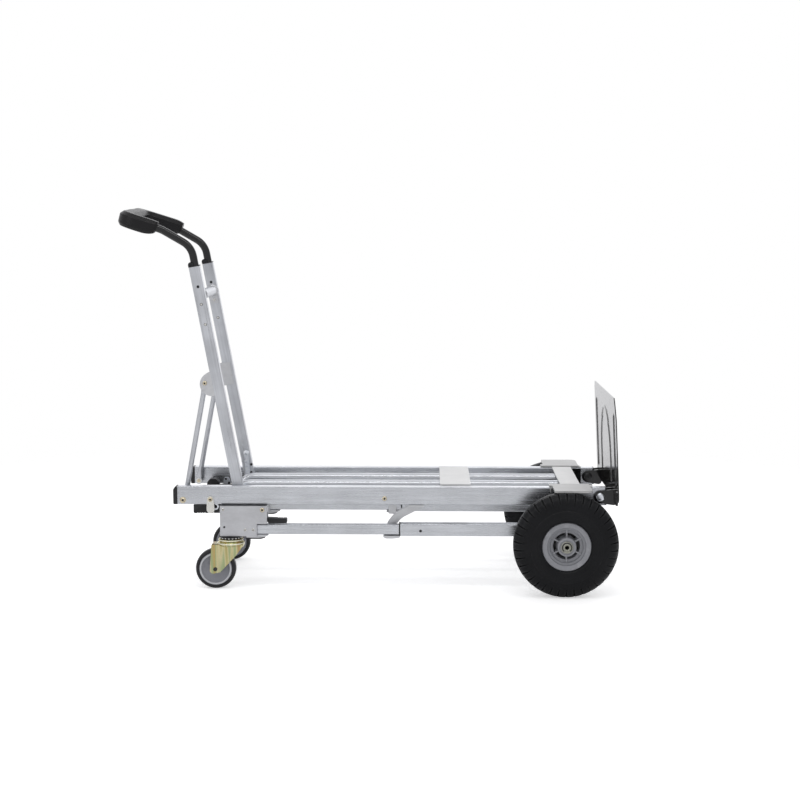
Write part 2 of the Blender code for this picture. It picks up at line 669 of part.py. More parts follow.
# ---- assembly --------------------------------------------------------------------
handle_end_bar()
cross_plates()
axle()
toe_plate()
handle_loop()
handle_cross_bar()
caster_cross_tube()
release_handle()
PER_SIDE = (rail, rail_cap, deck_tube, fender, axle_bracket, brace_foot_bolt, toe_hinge_bolt,
            toe_bracket, main_wheel, upright, upright_collar, gusset, foot_shoe, brace_rod,
            outer_strut, stay_arm, inner_tube, caster_housing, housing_lever, caster)
for side_name, side_sign in SIDES.items():
    for build in PER_SIDE:
        build(side_name, side_sign)
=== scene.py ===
"""Looks of a convertible hand truck in its platform position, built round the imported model.

Frame: metres, +Z up, +X from the handle end to the toe plate, +Y to the left of a person
behind the handle. Pieces of both sides are drawn for the left side and mirrored.
"""

import json
import math

import bmesh
import bpy
from mathutils import Matrix, Vector


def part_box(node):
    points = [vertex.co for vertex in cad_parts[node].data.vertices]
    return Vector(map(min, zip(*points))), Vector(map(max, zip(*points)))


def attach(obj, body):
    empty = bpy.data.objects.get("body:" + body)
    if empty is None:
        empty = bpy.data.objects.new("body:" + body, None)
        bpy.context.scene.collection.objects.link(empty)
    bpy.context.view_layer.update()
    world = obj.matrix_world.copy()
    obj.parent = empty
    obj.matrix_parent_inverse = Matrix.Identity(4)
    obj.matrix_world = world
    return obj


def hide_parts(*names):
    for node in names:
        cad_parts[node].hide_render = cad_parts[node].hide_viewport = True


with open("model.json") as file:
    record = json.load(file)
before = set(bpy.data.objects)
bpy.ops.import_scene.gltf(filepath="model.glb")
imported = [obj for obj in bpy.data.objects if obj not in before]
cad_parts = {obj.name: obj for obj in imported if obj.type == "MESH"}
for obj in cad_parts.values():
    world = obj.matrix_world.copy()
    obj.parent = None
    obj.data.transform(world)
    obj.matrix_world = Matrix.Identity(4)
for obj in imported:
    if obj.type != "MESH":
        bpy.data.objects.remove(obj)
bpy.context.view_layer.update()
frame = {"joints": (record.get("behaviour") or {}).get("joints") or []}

SIDES = {"left": 1, "right": -1}
MM = 0.001
JOINT_AT = {joint["name"]: Vector(joint["pos_m"]) for joint in frame["joints"] if "pos_m" in joint}


def limits(node):
    """X, Y and Z limits of a CAD node, as three pairs."""
    low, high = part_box(node)
    return tuple((low[axis], high[axis]) for axis in range(3))


AXLE = JOINT_AT["wheel_left_spin"]
BRACE_FOOT = JOINT_AT["brace_fold"]
BRACE_TOP = JOINT_AT["handle_fold"]
TOE_PIVOT = JOINT_AT["toe_plate_fold"]
RELEASE_PIVOT = JOINT_AT["release_swing"]
SWIVEL = JOINT_AT["caster_left_swivel"]
CASTER_AXLE = JOINT_AT["caster_left_spin"]
LEAN = math.radians(10.5)
AXLE_BORE = 10.3 * MM


# ---- shader nodes ------------------------------------------------------------------
def add_node(tree, kind, sockets=None, **settings):
    """A shader node whose sockets get a constant or a link from another node's output."""
    made = tree.nodes.new("ShaderNode" + kind)
    for key, value in settings.items():
        setattr(made, key, value)
    for socket, value in (sockets or {}).items():
        if isinstance(value, bpy.types.NodeSocket):
            tree.links.new(value, made.inputs[socket])
        else:
            made.inputs[socket].default_value = value
    return made


def set_ramp(ramp, stops):
    """Gives a colour ramp its stops, as pairs of a place and a colour."""
    elements = ramp.color_ramp.elements
    while len(elements) < len(stops):
        elements.new(0.5)
    for element, (place, colour) in zip(elements, stops):
        element.position = place
        element.color = (*colour, 1)


# ---- camera, light and floor -------------------------------------------------------
def make_camera():
    """Camera at the view's angle, a little above the deck and almost square to the side."""
    data = bpy.data.cameras.new("camera")
    data.lens = 72
    data.sensor_width = 36
    camera = bpy.data.objects.new("camera", data)
    camera.location = (0.1424, -4.0458, 0.9416)
    camera.rotation_euler = (math.pi / 2 - 0.1208, 0, 0.0168)
    bpy.context.collection.objects.link(camera)
    bpy.context.scene.camera = camera
    bpy.context.scene.view_settings.view_transform = "Standard"


def area_light(name, place, aim, size, power):
    """A soft rectangular light that points at a place."""
    data = bpy.data.lights.new(name, "AREA")
    data.shape = "RECTANGLE"
    data.size, data.size_y = size
    data.energy = power
    lamp = bpy.data.objects.new(name, data)
    lamp.location = place
    direction = Vector(aim) - Vector(place)
    lamp.rotation_euler = direction.to_track_quat("-Z", "Y").to_euler()
    bpy.context.collection.objects.link(lamp)


def make_light():
    """White studio: brightest behind the truck, greyer overhead, with faint soft boxes."""
    world = bpy.data.worlds.new("studio")
    world.use_nodes = True
    bpy.context.scene.world = world
    tree = world.node_tree
    tree.nodes.clear()
    place = add_node(tree, "TexCoord").outputs["Generated"]
    towards = add_node(tree, "VectorMath", {0: place, 1: (0, 0.94, 0.34)}, operation="DOT_PRODUCT")
    half = add_node(tree, "Math", {0: towards.outputs["Value"], 1: 0.5, 2: 0.5}, operation="MULTIPLY_ADD")
    ramp = add_node(tree, "ValToRGB", {0: half.outputs[0]})
    tones = ((0.0, 0.70), (0.35, 0.62), (0.60, 0.52), (0.76, 0.56), (0.88, 0.85), (1.0, 1.25))
    set_ramp(ramp, [(at, (tone, tone, tone * 1.02)) for at, tone in tones])
    surround = add_node(tree, "Background", {"Color": ramp.outputs["Color"]})
    backdrop = add_node(tree, "Background", {"Color": (1, 1, 1, 1)})
    seen = add_node(tree, "LightPath").outputs["Is Camera Ray"]
    mix = add_node(tree, "MixShader", {"Fac": seen, 1: surround.outputs[0], 2: backdrop.outputs[0]})
    add_node(tree, "OutputWorld", {"Surface": mix.outputs[0]})
    area_light("top_box", (-0.3, -0.2, 3.2), (0.1, 0, 0.2), (3.0, 2.2), 6)
    area_light("top_strip", (0.0, -1.0, 2.6), (0.0, 0, 0.3), (3.2, 0.22), 10)
    area_light("side_strip", (-2.6, -1.6, 1.8), (-0.3, 0, 0.5), (0.3, 1.8), 7)
    area_light("back_box", (1.4, 3.0, 1.8), (0.1, 0, 0.3), (1.8, 1.4), 4)


def make_floor():
    """Pale floor that fades into the white surround."""
    shape = bmesh.new()
    bmesh.ops.create_grid(shape, x_segments=24, y_segments=24, size=6.0)
    floor = add_object("floor", shape)
    made = bpy.data.materials.new("pale_floor")
    made.use_nodes = True
    tree = made.node_tree
    paint = tree.nodes["Principled BSDF"]
    paint.inputs["Base Color"].default_value = (0.93, 0.93, 0.93, 1)
    paint.inputs["Roughness"].default_value = 0.85
    paint.inputs["Emission Color"].default_value = (1, 1, 1, 1)
    seen = add_node(tree, "LightPath").outputs["Is Camera Ray"]
    glow = add_node(tree, "Math", {0: seen, 1: 0.40, 2: 0.06}, operation="MULTIPLY_ADD")
    tree.links.new(glow.outputs[0], paint.inputs["Emission Strength"])
    place = add_node(tree, "NewGeometry").outputs["Position"]
    away = add_node(tree, "VectorMath", {0: place}, operation="LENGTH")
    fade = add_node(tree, "MapRange", {"Value": away.outputs["Value"], "From Min": 0.9, "From Max": 2.4},
        interpolation_type="SMOOTHERSTEP")
    clear = add_node(tree, "BsdfTransparent")
    mix = add_node(tree, "MixShader", {"Fac": fade.outputs["Result"], 1: paint.outputs[0],
        2: clear.outputs[0]})
    tree.links.new(mix.outputs[0], tree.nodes["Material Output"].inputs["Surface"])
    floor.data.materials.append(made)


# ---- finishes ----------------------------------------------------------------------
def finish(name, base, metallic, roughness, grain=(40, 40, 40), contrast=0.06, vary=0.06, bump=0.1,
        turn=0.0, mottle=0.05, coat=0.0, worn=0.0, shine=0.5):
    """A finish with streaks or grain, slow blotches, uneven roughness and fine relief."""
    made = bpy.data.materials.new(name)
    made.use_nodes = True
    tree = made.node_tree
    shader = tree.nodes["Principled BSDF"]
    shader.inputs["Metallic"].default_value = metallic
    shader.inputs["Coat Weight"].default_value = coat
    shader.inputs["Coat Roughness"].default_value = 0.08
    shader.inputs["Specular IOR Level"].default_value = shine

    def node(kind, sockets=None, **settings):
        return add_node(tree, kind, sockets, **settings)

    def spread(source, low, high):
        ranged = node("MapRange", {"Value": source, "From Min": 0.3, "From Max": 0.7, "To Min": low,
            "To Max": high})
        return ranged.outputs["Result"]

    place = node("TexCoord").outputs["Object"]
    mapping = node("Mapping", {"Vector": place, "Rotation": (0, turn, 0)})
    stretch = node("VectorMath", {0: mapping.outputs["Vector"], 1: grain}, operation="MULTIPLY")
    fine = node("TexNoise", {"Vector": stretch.outputs[0], "Scale": 10, "Detail": 5}).outputs["Fac"]
    slow = node("TexNoise", {"Vector": place, "Scale": 14, "Detail": 3}).outputs["Fac"]
    tone = node("Math", {0: spread(fine, 1 - contrast, 1 + contrast),
        1: spread(slow, 1 - mottle, 1 + mottle)}, operation="MULTIPLY")
    colour = node("VectorMath", {0: base, "Scale": tone.outputs[0]}, operation="SCALE").outputs[0]
    if worn:
        edge = node("MapRange", {"Value": node("NewGeometry").outputs["Pointiness"], "From Min": 0.52,
            "From Max": 0.6})
        lighter = (*(channel + worn for channel in base), 1)
        colour = node("Mix", {"Factor": edge.outputs["Result"], "A": colour, "B": lighter},
            data_type="RGBA").outputs["Result"]
    tree.links.new(colour, shader.inputs["Base Color"])
    tree.links.new(spread(fine, roughness - vary, roughness + vary), shader.inputs["Roughness"])
    relief = node("Bump", {"Strength": bump, "Distance": 0.4 * MM, "Height": fine})
    tree.links.new(relief.outputs["Normal"], shader.inputs["Normal"])
    return made


def iridescent(made, tones):
    """Adds slow drifts of hue to a finish, as on chromate plating."""
    tree = made.node_tree
    colour = tree.nodes["Principled BSDF"].inputs["Base Color"]
    place = add_node(tree, "TexCoord").outputs["Object"]
    streak = add_node(tree, "VectorMath", {0: place, 1: (2.6, 0.4, 0.12)}, operation="MULTIPLY")
    wave = add_node(tree, "TexNoise", {"Vector": streak.outputs[0], "Scale": 26, "Detail": 1})
    hue = add_node(tree, "ValToRGB", {"Fac": wave.outputs["Fac"]})
    set_ramp(hue, [(0.3 + 0.4 * index / (len(tones) - 1), tone) for index, tone in enumerate(tones)])
    blend = add_node(tree, "Mix", {"Factor": 1, "A": colour.links[0].from_socket,
        "B": hue.outputs["Color"]}, data_type="RGBA", blend_type="MULTIPLY")
    tree.links.new(blend.outputs["Result"], colour)
    return made


ALONG_X = (0.6, 22, 22)
ALONG_Z = (22, 22, 0.6)
BRACE_LEAN = math.atan2(BRACE_TOP.x - BRACE_FOOT.x, BRACE_TOP.z - BRACE_FOOT.z)
ALUMINIUM = (0.60, 0.615, 0.645)
ALU_DECK = finish("aluminium_deck", ALUMINIUM, 0.92, 0.27, ALONG_X, 0.09, 0.07, 0.14, mottle=0.07)
ALU_POST = finish("aluminium_post", ALUMINIUM, 0.92, 0.33, ALONG_Z, 0.11, 0.07, 0.16, LEAN, mottle=0.12)
ALU_BRACE = finish("aluminium_brace", ALUMINIUM, 0.92, 0.34, ALONG_Z, 0.06, 0.06, 0.1, -BRACE_LEAN)
ALU_CROSS = finish("aluminium_cross", ALUMINIUM, 0.92, 0.36, (22, 0.6, 22), 0.06, 0.06, 0.1)
ALU_CAST = finish("aluminium_cast", (0.62, 0.625, 0.64), 0.85, 0.45, (12, 12, 12), 0.05, 0.08, 0.25)
PALE_PLATE = finish("pale_plate", (0.72, 0.72, 0.715), 0.35, 0.5, (9, 18, 9), 0.025, 0.05, 0.15)
GUARD_PLATE = finish("guard_plate", (0.52, 0.52, 0.515), 0.5, 0.5, (9, 18, 9), 0.03, 0.05, 0.15)
SHEET = finish("galvanised_sheet", (0.56, 0.565, 0.585), 0.85, 0.42, (7, 7, 14), 0.06, 0.07, 0.1,
    mottle=0.07)
WHITE_ZINC = finish("white_zinc", (0.86, 0.89, 0.94), 0.9, 0.34, (24, 24, 24), 0.14, 0.08, 0.3)
AGED_STEEL = finish("aged_steel", (0.34, 0.34, 0.29), 0.95, 0.36, (60, 60, 60), 0.2, 0.08, 0.3)
# polished races, with a near-white colour that also paints highlight stripes round the fork's crown
RACE = finish("race_with_painted_highlight", (0.98, 0.95, 0.80), 0.4, 0.22, (30, 30, 30), 0.04, 0.05, 0.05)
ZINC = finish("bright_zinc", (0.74, 0.73, 0.69), 1.0, 0.24, (30, 30, 30), 0.06, 0.07, 0.08)
BRASSY = finish("brassy_zinc", (0.70, 0.62, 0.46), 1.0, 0.28, (30, 30, 30), 0.08, 0.07, 0.1)
YELLOW = iridescent(finish("yellow_chromate", (0.50, 0.43, 0.255), 1.0, 0.20, (14, 14, 14), 0.05, 0.06,
    0.06), ((0.86, 0.66, 0.50), (1.0, 0.92, 0.66), (0.72, 1.0, 0.92), (1.25, 1.3, 1.3), (0.95, 1.0, 0.72),
    (0.90, 0.72, 0.62)))
# gloss black paint; also the plate on the rail's inner face by the hinge, which is painted shade
GLOSS_BLACK_AND_SHADE = finish("gloss_black_and_painted_shade", (0.006, 0.006, 0.0065), 0.0, 0.10, (16, 16, 16), 0.1, 0.04, 0.03,
    coat=0.3, shine=0.4)
LOAD_BLACK = finish("load_plate_black", (0.026, 0.025, 0.023), 0.0, 0.12, (12, 12, 12), 0.15, 0.05, 0.04,
    coat=0.3, shine=0.4)
# black plastic of the moulded parts; also the disc behind the hub windows, which is painted shade
BLACK_PLASTIC_AND_SHADE = finish("black_plastic", (0.010, 0.010, 0.0115), 0.0, 0.38, (70, 70, 70), 0.15, 0.06, 0.35,
    worn=0.02, shine=0.35)
GRIP = finish("black_grip", (0.013, 0.0125, 0.0135), 0.0, 0.34, (90, 90, 90), 0.15, 0.05, 0.5, shine=0.2)
TYRE = finish("tyre_rubber", (0.008, 0.0083, 0.0095), 0.0, 0.36, (30, 30, 30), 0.2, 0.1, 0.25, mottle=0.2,
    worn=0.03, shine=0.15)
CASTER_RUBBER = finish("caster_rubber", (0.016, 0.016, 0.018), 0.0, 0.4, (30, 30, 30), 0.2, 0.08, 0.25,
    mottle=0.15, shine=0.35)
HUB = finish("grey_hub", (0.27, 0.275, 0.295), 0.0, 0.42, (50, 50, 50), 0.06, 0.05, 0.3, mottle=0.06,
    worn=0.05)
CASTER_RING = finish("caster_ring", (0.55, 0.56, 0.58), 0.0, 0.4, (50, 50, 50), 0.06, 0.05, 0.2)
CASTER_HUB = finish("caster_hub", (0.27, 0.275, 0.305), 0.0, 0.4, (50, 50, 50), 0.06, 0.05, 0.3)
# dark steel of nuts, bolts, pins and rings; also the painted shade in bolt sockets, round the upright's
# rivets and in the caster race's notches
DARK = finish("dark_steel_and_painted_shade", (0.05, 0.05, 0.052), 0.7, 0.4, (30, 30, 30), 0.2, 0.08, 0.2)


# ---- mesh tools --------------------------------------------------------------------
def rounded(points, radius, steps=4, closed=True):
    """An outline or a route whose corners become arcs; radius may be a list."""
    points = [Vector(point) for point in points]
    made = []
    for index, here in enumerate(points):
        size = radius[index] if isinstance(radius, (list, tuple)) else radius
        if size <= 0 or not closed and index in (0, len(points) - 1):
            made.append(here)
            continue
        back = points[index - 1] - here
        ahead = points[(index + 1) % len(points)] - here
        half = back.angle(ahead) / 2
        reach = min(size / math.tan(half), 0.48 * back.length, 0.48 * ahead.length)
        middle = (back.normalized() + ahead.normalized()).normalized()
        centre = here + middle * (reach / math.cos(half))
        start = here + back.normalized() * reach - centre
        end = here + ahead.normalized() * reach - centre
        turn = start.angle(end)
        for step in range(steps + 1):
            share = step / steps
            part = start * math.sin((1 - share) * turn) + end * math.sin(share * turn)
            made.append(centre + part / math.sin(turn))
    return made


def arc(centre, radius, start, end, steps):
    """Points on an arc round a 2D centre, angles in degrees."""
    points = []
    for step in range(steps + 1):
        angle = math.radians(start + (end - start) * step / steps)
        points.append((centre[0] + radius * math.cos(angle), centre[1] + radius * math.sin(angle)))
    return points


def rectangle(x, z):
    """Corners of a rectangle between two pairs of limits."""
    return [(x[0], z[0]), (x[1], z[0]), (x[1], z[1]), (x[0], z[1])]


def lay(axis, first, second, along):
    """A 3D point from two coordinates in a plane and one along the axis across it."""
    if axis == "X":
        return (along, first, second)
    if axis == "Y":
        return (first, along, second)
    return (first, second, along)


def join_rings(shape, near, far):
    """A band of faces between two closed rings of the same number of points."""
    for index in range(len(near)):
        after = (index + 1) % len(near)
        shape.faces.new((near[index], near[after], far[after], far[index]))


def prism(outline, span, axis="Y"):
    """A solid outline, extruded along an axis."""
    shape = bmesh.new()
    ends = [[shape.verts.new(lay(axis, *point[:2], along)) for point in outline] for along in span]
    shape.faces.new(ends[0])
    shape.faces.new(ends[1])
    join_rings(shape, *ends)
    return shape


def hollow(outer, inner, span, axis):
    """A tube between two outlines with the same number of points."""
    shape = bmesh.new()
    outlines = (outer, inner)
    rings = [[[shape.verts.new(lay(axis, *point[:2], along)) for point in outline]
              for outline in outlines] for along in span]
    count = len(outer)
    for index in range(count):
        after = (index + 1) % count
        for side in (0, 1):
            near, far = rings[0][side], rings[1][side]
            shape.faces.new((near[index], near[after], far[after], far[index]))
        for end in (0, 1):
            out, core = rings[end]
            shape.faces.new((out[index], out[after], core[after], core[index]))
    return shape


def square_tube(y, z, x, corner, wall, axis="X"):
    """Hollow rectangular tube with rounded corners."""
    outer = rounded(rectangle(y, z), corner)
    inner = rounded(rectangle((y[0] + wall, y[1] - wall), (z[0] + wall, z[1] - wall)),
        max(corner - wall, 0.8 * MM))
    return hollow(outer, inner, x, axis)


def turned(profile, centre, axis="Y", sides=48):
    """A closed (radius, along) profile turned about an axis through a point.

    The along values count from the frame's origin; a third value makes a corner hexagonal.
    """
    centre = Vector(centre)
    centre["XYZ".index(axis)] = 0
    shape = bmesh.new()
    rings = []
    for step in range(sides):
        angle = 2 * math.pi * step / sides
        ring = []
        for radius, along, *hexagonal in profile:
            if hexagonal:
                radius /= math.cos((angle + math.pi / 6) % (math.pi / 3) - math.pi / 6)
            first, second = radius * math.cos(angle), radius * math.sin(angle)
            ring.append(shape.verts.new(Vector(lay(axis, first, second, along)) + centre))
        rings.append(ring)
    for step in range(sides):
        join_rings(shape, rings[step], rings[(step + 1) % sides])
    bmesh.ops.remove_doubles(shape, verts=shape.verts, dist=1e-6)
    return shape


def rod(radius, along, centre, axis="Y", sides=48):
    """A plain round bar between two places along an axis."""
    start, end = along
    return turned([(0, start), (radius, start), (radius, end), (0, end)], centre, axis, sides)


def mm(*values):
    """Millimetres as metres, in a list."""
    return [value * MM for value in values]


def offsets(first, second, pairs):
    """Points at distances in millimetres from a base point; a third value is kept."""
    return [(first + a * MM, second + b * MM, *more) for a, b, *more in pairs]


def swept(route, sections, up=None):
    """Cross sections carried along a route; one section, or one for each point."""
    shape = bmesh.new()
    if not isinstance(sections[0], list):
        sections = [sections] * len(route)
    rings = []
    normal = Vector(up) if up else None
    for index, point in enumerate(route):
        along = (route[min(index + 1, len(route) - 1)] - route[max(index - 1, 0)]).normalized()
        if normal is None:
            normal = along.orthogonal().normalized()
        elif not up:
            normal = (normal - along * normal.dot(along)).normalized()
        side = along.cross(normal).normalized()
        rings.append([shape.verts.new(point + side * first + normal * second)
            for first, second in sections[index]])
    for near, far in zip(rings, rings[1:]):
        join_rings(shape, near, far)
    shape.faces.new(rings[0])
    shape.faces.new(rings[-1])
    return shape


def circle(radius, sides, power=2.0):
    """A round or squarish section; power 2 is round and more is squarer."""
    points = []
    for step in range(sides):
        angle = 2 * math.pi * step / sides
        c, s = math.cos(angle), math.sin(angle)
        points.append((radius * math.copysign(abs(c) ** (2 / power), c),
            radius * math.copysign(abs(s) ** (2 / power), s)))
    return points


def block(first, second, corner, span, axis="Y"):
    """A box between three pairs of limits, with its four long edges rounded."""
    return prism(rounded(rectangle(first, second), corner), span, axis)


def merged(*shapes):
    """Several closed shapes that don't touch, as one mesh."""
    whole = bmesh.new()
    for shape in shapes:
        mesh = bpy.data.meshes.new("part")
        shape.to_mesh(mesh)
        shape.free()
        whole.from_mesh(mesh)
        bpy.data.meshes.remove(mesh)
    return whole


def moved(shape, matrix):
    """The same shape after a transform."""
    bmesh.ops.transform(shape, matrix=matrix, verts=shape.verts)
    return shape


def add_object(name, shape):
    """An object with a shape's mesh, its faces turned outwards."""
    bmesh.ops.recalc_face_normals(shape, faces=shape.faces)
    mesh = bpy.data.meshes.new(name)
    shape.to_mesh(mesh)
    shape.free()
    made = bpy.data.objects.new(name, mesh)
    bpy.context.collection.objects.link(made)
    return made


def apply_modifiers(made):
    """Gives an object the mesh that its modifiers make of it."""
    graph = bpy.context.evaluated_depsgraph_get()
    made_mesh = bpy.data.meshes.new_from_object(made.evaluated_get(graph))
    made.modifiers.clear()
    made.data = made_mesh
    return made_mesh


def piece(name, shape, material, body, stands_for=(), side=1, cuts=(), joins=(), bevel=0.4 * MM,
        sharp=30):
    """A finished piece: shape, Booleans, softened edges, mirrored, painted and on its body."""
    made = add_object(name, shape)
    tools = []
    for operation, shapes in (("UNION", joins), ("DIFFERENCE", cuts)):
        for tool_shape in shapes:
            tools.append(add_object("tool", tool_shape))
            step = made.modifiers.new("step", "BOOLEAN")
            step.operation = operation
            step.object = tools[-1]
    if bevel:
        step = made.modifiers.new("edges", "BEVEL")
        step.width = bevel
        step.segments = 2
        step.limit_method = "ANGLE"
        step.angle_limit = math.radians(sharp)
        step.use_clamp_overlap = True
    mesh = apply_modifiers(made)
    for tool in tools:
        bpy.data.objects.remove(tool)
    if side < 0:
        mesh.transform(Matrix.Diagonal((1, -1, 1, 1)))
        mesh.flip_normals()
    mesh.shade_smooth()
    mesh.set_sharp_from_angle(angle=math.radians(sharp))
    step = made.modifiers.new("flat", "WEIGHTED_NORMAL")
    step.keep_sharp = True
    mesh = apply_modifiers(made)
    mesh.materials.clear()
    mesh.materials.append(material)
    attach(made, body)
    if stands_for:
        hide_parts(*stands_for)


def fitting(name, shape, material, body, side=1):
    """A small steel part, or a small dark piece of painted shade, that stands for no CAD node of its own.
    """
    piece(name, shape, material, body, (), side, bevel=0)


def dome(centre, seat, radius, height, axis="Y"):
    """A domed head that stands out from its seat."""
    profile = [(0, seat - 0.5 * MM), (radius, seat - 0.5 * MM), (radius, seat + 0.25 * height),
        (0.86 * radius, seat + 0.7 * height), (0.6 * radius, seat + 0.95 * height), (0, seat + height)]
    return turned(profile, centre, axis, 28)


def bolt(name, centre, seat, radius, height, material, body, side=1, extras=(), stands_for=()):
    """A domed bolt with a hexagonal socket whose dark fill is painted shadow, and any washer or shank that
    goes with it.
    """
    inner = 0.42 * radius
    profile = [(0, seat - 0.5 * MM), (radius, seat - 0.5 * MM), (radius, seat + 0.25 * height),
        (0.86 * radius, seat + 0.7 * height), (0.6 * radius, seat + height), (inner, seat + height, True),
        (inner, seat + 0.3 * height, True), (0, seat + 0.3 * height)]
    head = turned(profile, centre, "Y", 24)
    piece(name, merged(head, *extras), material, body, stands_for, side, bevel=0)
    # dark hexagonal fill low in the socket: painted shadow inside the socket
    hole = turned([(0, seat + 0.3 * height), (0.94 * inner, seat + 0.3 * height, True),
        (0.94 * inner, seat + 0.62 * height, True), (0, seat + 0.62 * height)], centre, "Y", 24)
    fitting(name + "_socket", hole, DARK, body, side)


# ---- deck frame --------------------------------------------------------------------
RAIL_X, RAIL_Y, RAIL_Z = limits("rail_left")
RAIL_WALL = 3 * MM
SLOT_HALF = 4.6 * MM
FOOT_PIN = Vector((2 * BRACE_TOP.x - BRACE_FOOT.x, 0, BRACE_FOOT.z))
FOOT_TRAVEL = 2 * (BRACE_TOP - BRACE_FOOT).length


def rail(name, side):
    """Extruded side rail with soft corners and the slot for the handle's foot."""
    slot_x = (FOOT_PIN.x - 8 * MM, BRACE_FOOT.x + FOOT_TRAVEL + 8 * MM)
    slot = rounded(rectangle(slot_x, (FOOT_PIN.z - SLOT_HALF, FOOT_PIN.z + SLOT_HALF)), 0.95 * SLOT_HALF, 6)
    slot = prism(slot, (RAIL_Y[0] - MM, RAIL_Y[0] + RAIL_WALL + MM))
    tube = square_tube(RAIL_Y, RAIL_Z, RAIL_X, 2.6 * MM, RAIL_WALL)
    piece(f"rail_{name}_profile", tube, ALU_DECK, "frame", [f"rail_{name}"], side,
        cuts=[slot], bevel=0.3 * MM)


def rail_plugs(name, side):
    """Moulded plugs in both open ends of a rail, each with a shallow rim."""
    cap_x = limits("rail_cap_left")[0][0] - 1.8 * MM
    low, high = RAIL_Z
    outline = rounded([(RAIL_X[0] - 0.2 * MM, low), (RAIL_X[0] - 0.2 * MM, high),
        (cap_x + 5 * MM, high - 0.5 * MM), (cap_x, high - 8 * MM), (cap_x, low + 2 * MM),
        (cap_x + 2 * MM, low)], mm(0.5, 1.5, 3, 3, 1.5, 1))
    rim = block((cap_x + 3.2 * MM, cap_x + 4.2 * MM), (low - MM, high + MM), 0.4 * MM,
        (RAIL_Y[1] - 0.4 * MM, RAIL_Y[1] + MM))
    piece(f"rail_plug_{name}", prism(outline, RAIL_Y), BLACK_PLASTIC_AND_SHADE, "frame",
        [f"rail_cap_{name}"], side, cuts=[rim], bevel=1.2 * MM)
    toe = square_tube((RAIL_Y[0] + 0.4 * MM, RAIL_Y[1] - 0.4 * MM), (low + 0.4 * MM, high - 0.4 * MM),
        (RAIL_X[1] + 0.1 * MM, RAIL_X[1] + 3.6 * MM), 2 * MM, 5 * MM)
    bottom = block((RAIL_Y[0] + 4 * MM, RAIL_Y[1] - 4 * MM), (low + 4 * MM, high - 4 * MM), 0,
        (RAIL_X[1] + 0.1 * MM, RAIL_X[1] + 2.4 * MM), "X")
    piece(f"rail_toe_plug_{name}", toe, BLACK_PLASTIC_AND_SHADE, "frame", (), side, joins=[bottom],
        bevel=0.8 * MM)


def deck_tube(name, side):
    """Drawn deck tube, bent down and pinched flat where it meets the end bar."""
    x, y, z = limits("deck_tube_left")
    radius = (y[1] - y[0]) / 2
    centre_y, centre_z = (y[0] + y[1]) / 2, z[1] - radius
    bar_top = limits("handle_end_bar")[2][1]
    bend_x = -0.3065
    drop = math.radians(62)
    route = [Vector((x[1], centre_y, centre_z)), Vector((0.1, centre_y, centre_z)),
        Vector((bend_x, centre_y, centre_z))]
    bend = 45 * MM
    for step in range(1, 15):
        angle = drop * step / 14
        route.append(Vector((bend_x - bend * math.sin(angle), centre_y,
            centre_z - bend * (1 - math.cos(angle)))))
    sections = [circle(radius, 32)] * (len(route) - 6)
    for step in range(6):
        flat = 1 - 0.45 * math.sin(math.pi / 2 * step / 5)
        sections.append([(a * (1 + 0.35 * (1 - flat)), b * flat) for a, b in circle(radius, 32)])
    below = block((x[0] - 0.05, bend_x), (bar_top - 0.05, bar_top + 0.3 * MM), 0,
        (y[0] - 0.02, y[1] + 0.02))
    piece(f"deck_tube_{name}_drawn", swept(route, sections, (0, 0, 1)), ALU_DECK, "frame",
        [f"deck_tube_{name}"], side, cuts=[below], bevel=0.3 * MM, sharp=40)


def end_bars():
    """Flat bar at the handle end with its screws, and the bar under the toe end of the deck."""
    x, y, z = limits("handle_end_bar")
    thin = 8 * MM
    outline = rounded(rectangle(x, (z[0], z[0] + thin)), 1.5 * MM)
    ears = [block(x, (z[0] + MM, z[1]), 1.5 * MM, (min(edge, edge - sign * 3.5 * MM),
        max(edge, edge - sign * 3.5 * MM))) for sign, edge in ((1, y[1]), (-1, y[0]))]
    piece("handle_end_flat_bar", prism(outline, y), ALU_CROSS, "frame",
        ["handle_end_bar"], joins=ears)
    middle = (x[0] + x[1]) / 2
    screws = [dome((middle - 7 * MM, sign * place, 0), z[0] + thin, 4 * MM, 2.4 * MM, "Z")
        for sign in (1, -1) for place in mm(28, 110)]
    fitting("handle_end_bar_screws", merged(*screws), ZINC, "frame")
    x, y, z = limits("toe_end_bar")
    outline = rounded(rectangle(x, z), 1.5 * MM)
    piece("toe_end_flat_bar", prism(outline, y), ALU_CROSS, "frame", ["toe_end_bar"])


def cross_plate(name, hollow_end):
    """Pale deck plate with eased edges, hollowed ends and four flush rivets."""
    x, y, z = limits(name)
    waist = 10 * MM
    dip = 1.8 * MM if hollow_end else 0
    outline = [(x[0], y[0]), (x[0] + waist, y[0])]
    outline += [(x[0] + waist + (x[1] - x[0] - 2 * waist) * step / 8,
        y[0] + dip * math.sin(math.pi * step / 8)) for step in range(1, 8)]
    outline += [(x[1] - waist, y[0]), (x[1], y[0])]
    outline += [(px, -py) for px, py in reversed(outline)]
    piece(name + "_pressed", prism(outline, z, "Z"), PALE_PLATE, "frame", [name],
        bevel=0.7 * MM)
    tube_y = sum(limits("deck_tube_left")[1]) / 2
    spots = [(px, sign * tube_y) for px in (x[0] + 12 * MM, x[1] - 12 * MM) for sign in (1, -1)]
    rivets = [turned([(0, z[1] - 0.2 * MM), (3.2 * MM, z[1] - 0.2 * MM), (2.6 * MM, z[1] - 0.02 * MM),
        (0, z[1])], (px, py, 0), "Z", 20) for px, py in spots]
    piece(name + "_rivets", merged(*rivets), ALU_CAST, "frame", bevel=0)


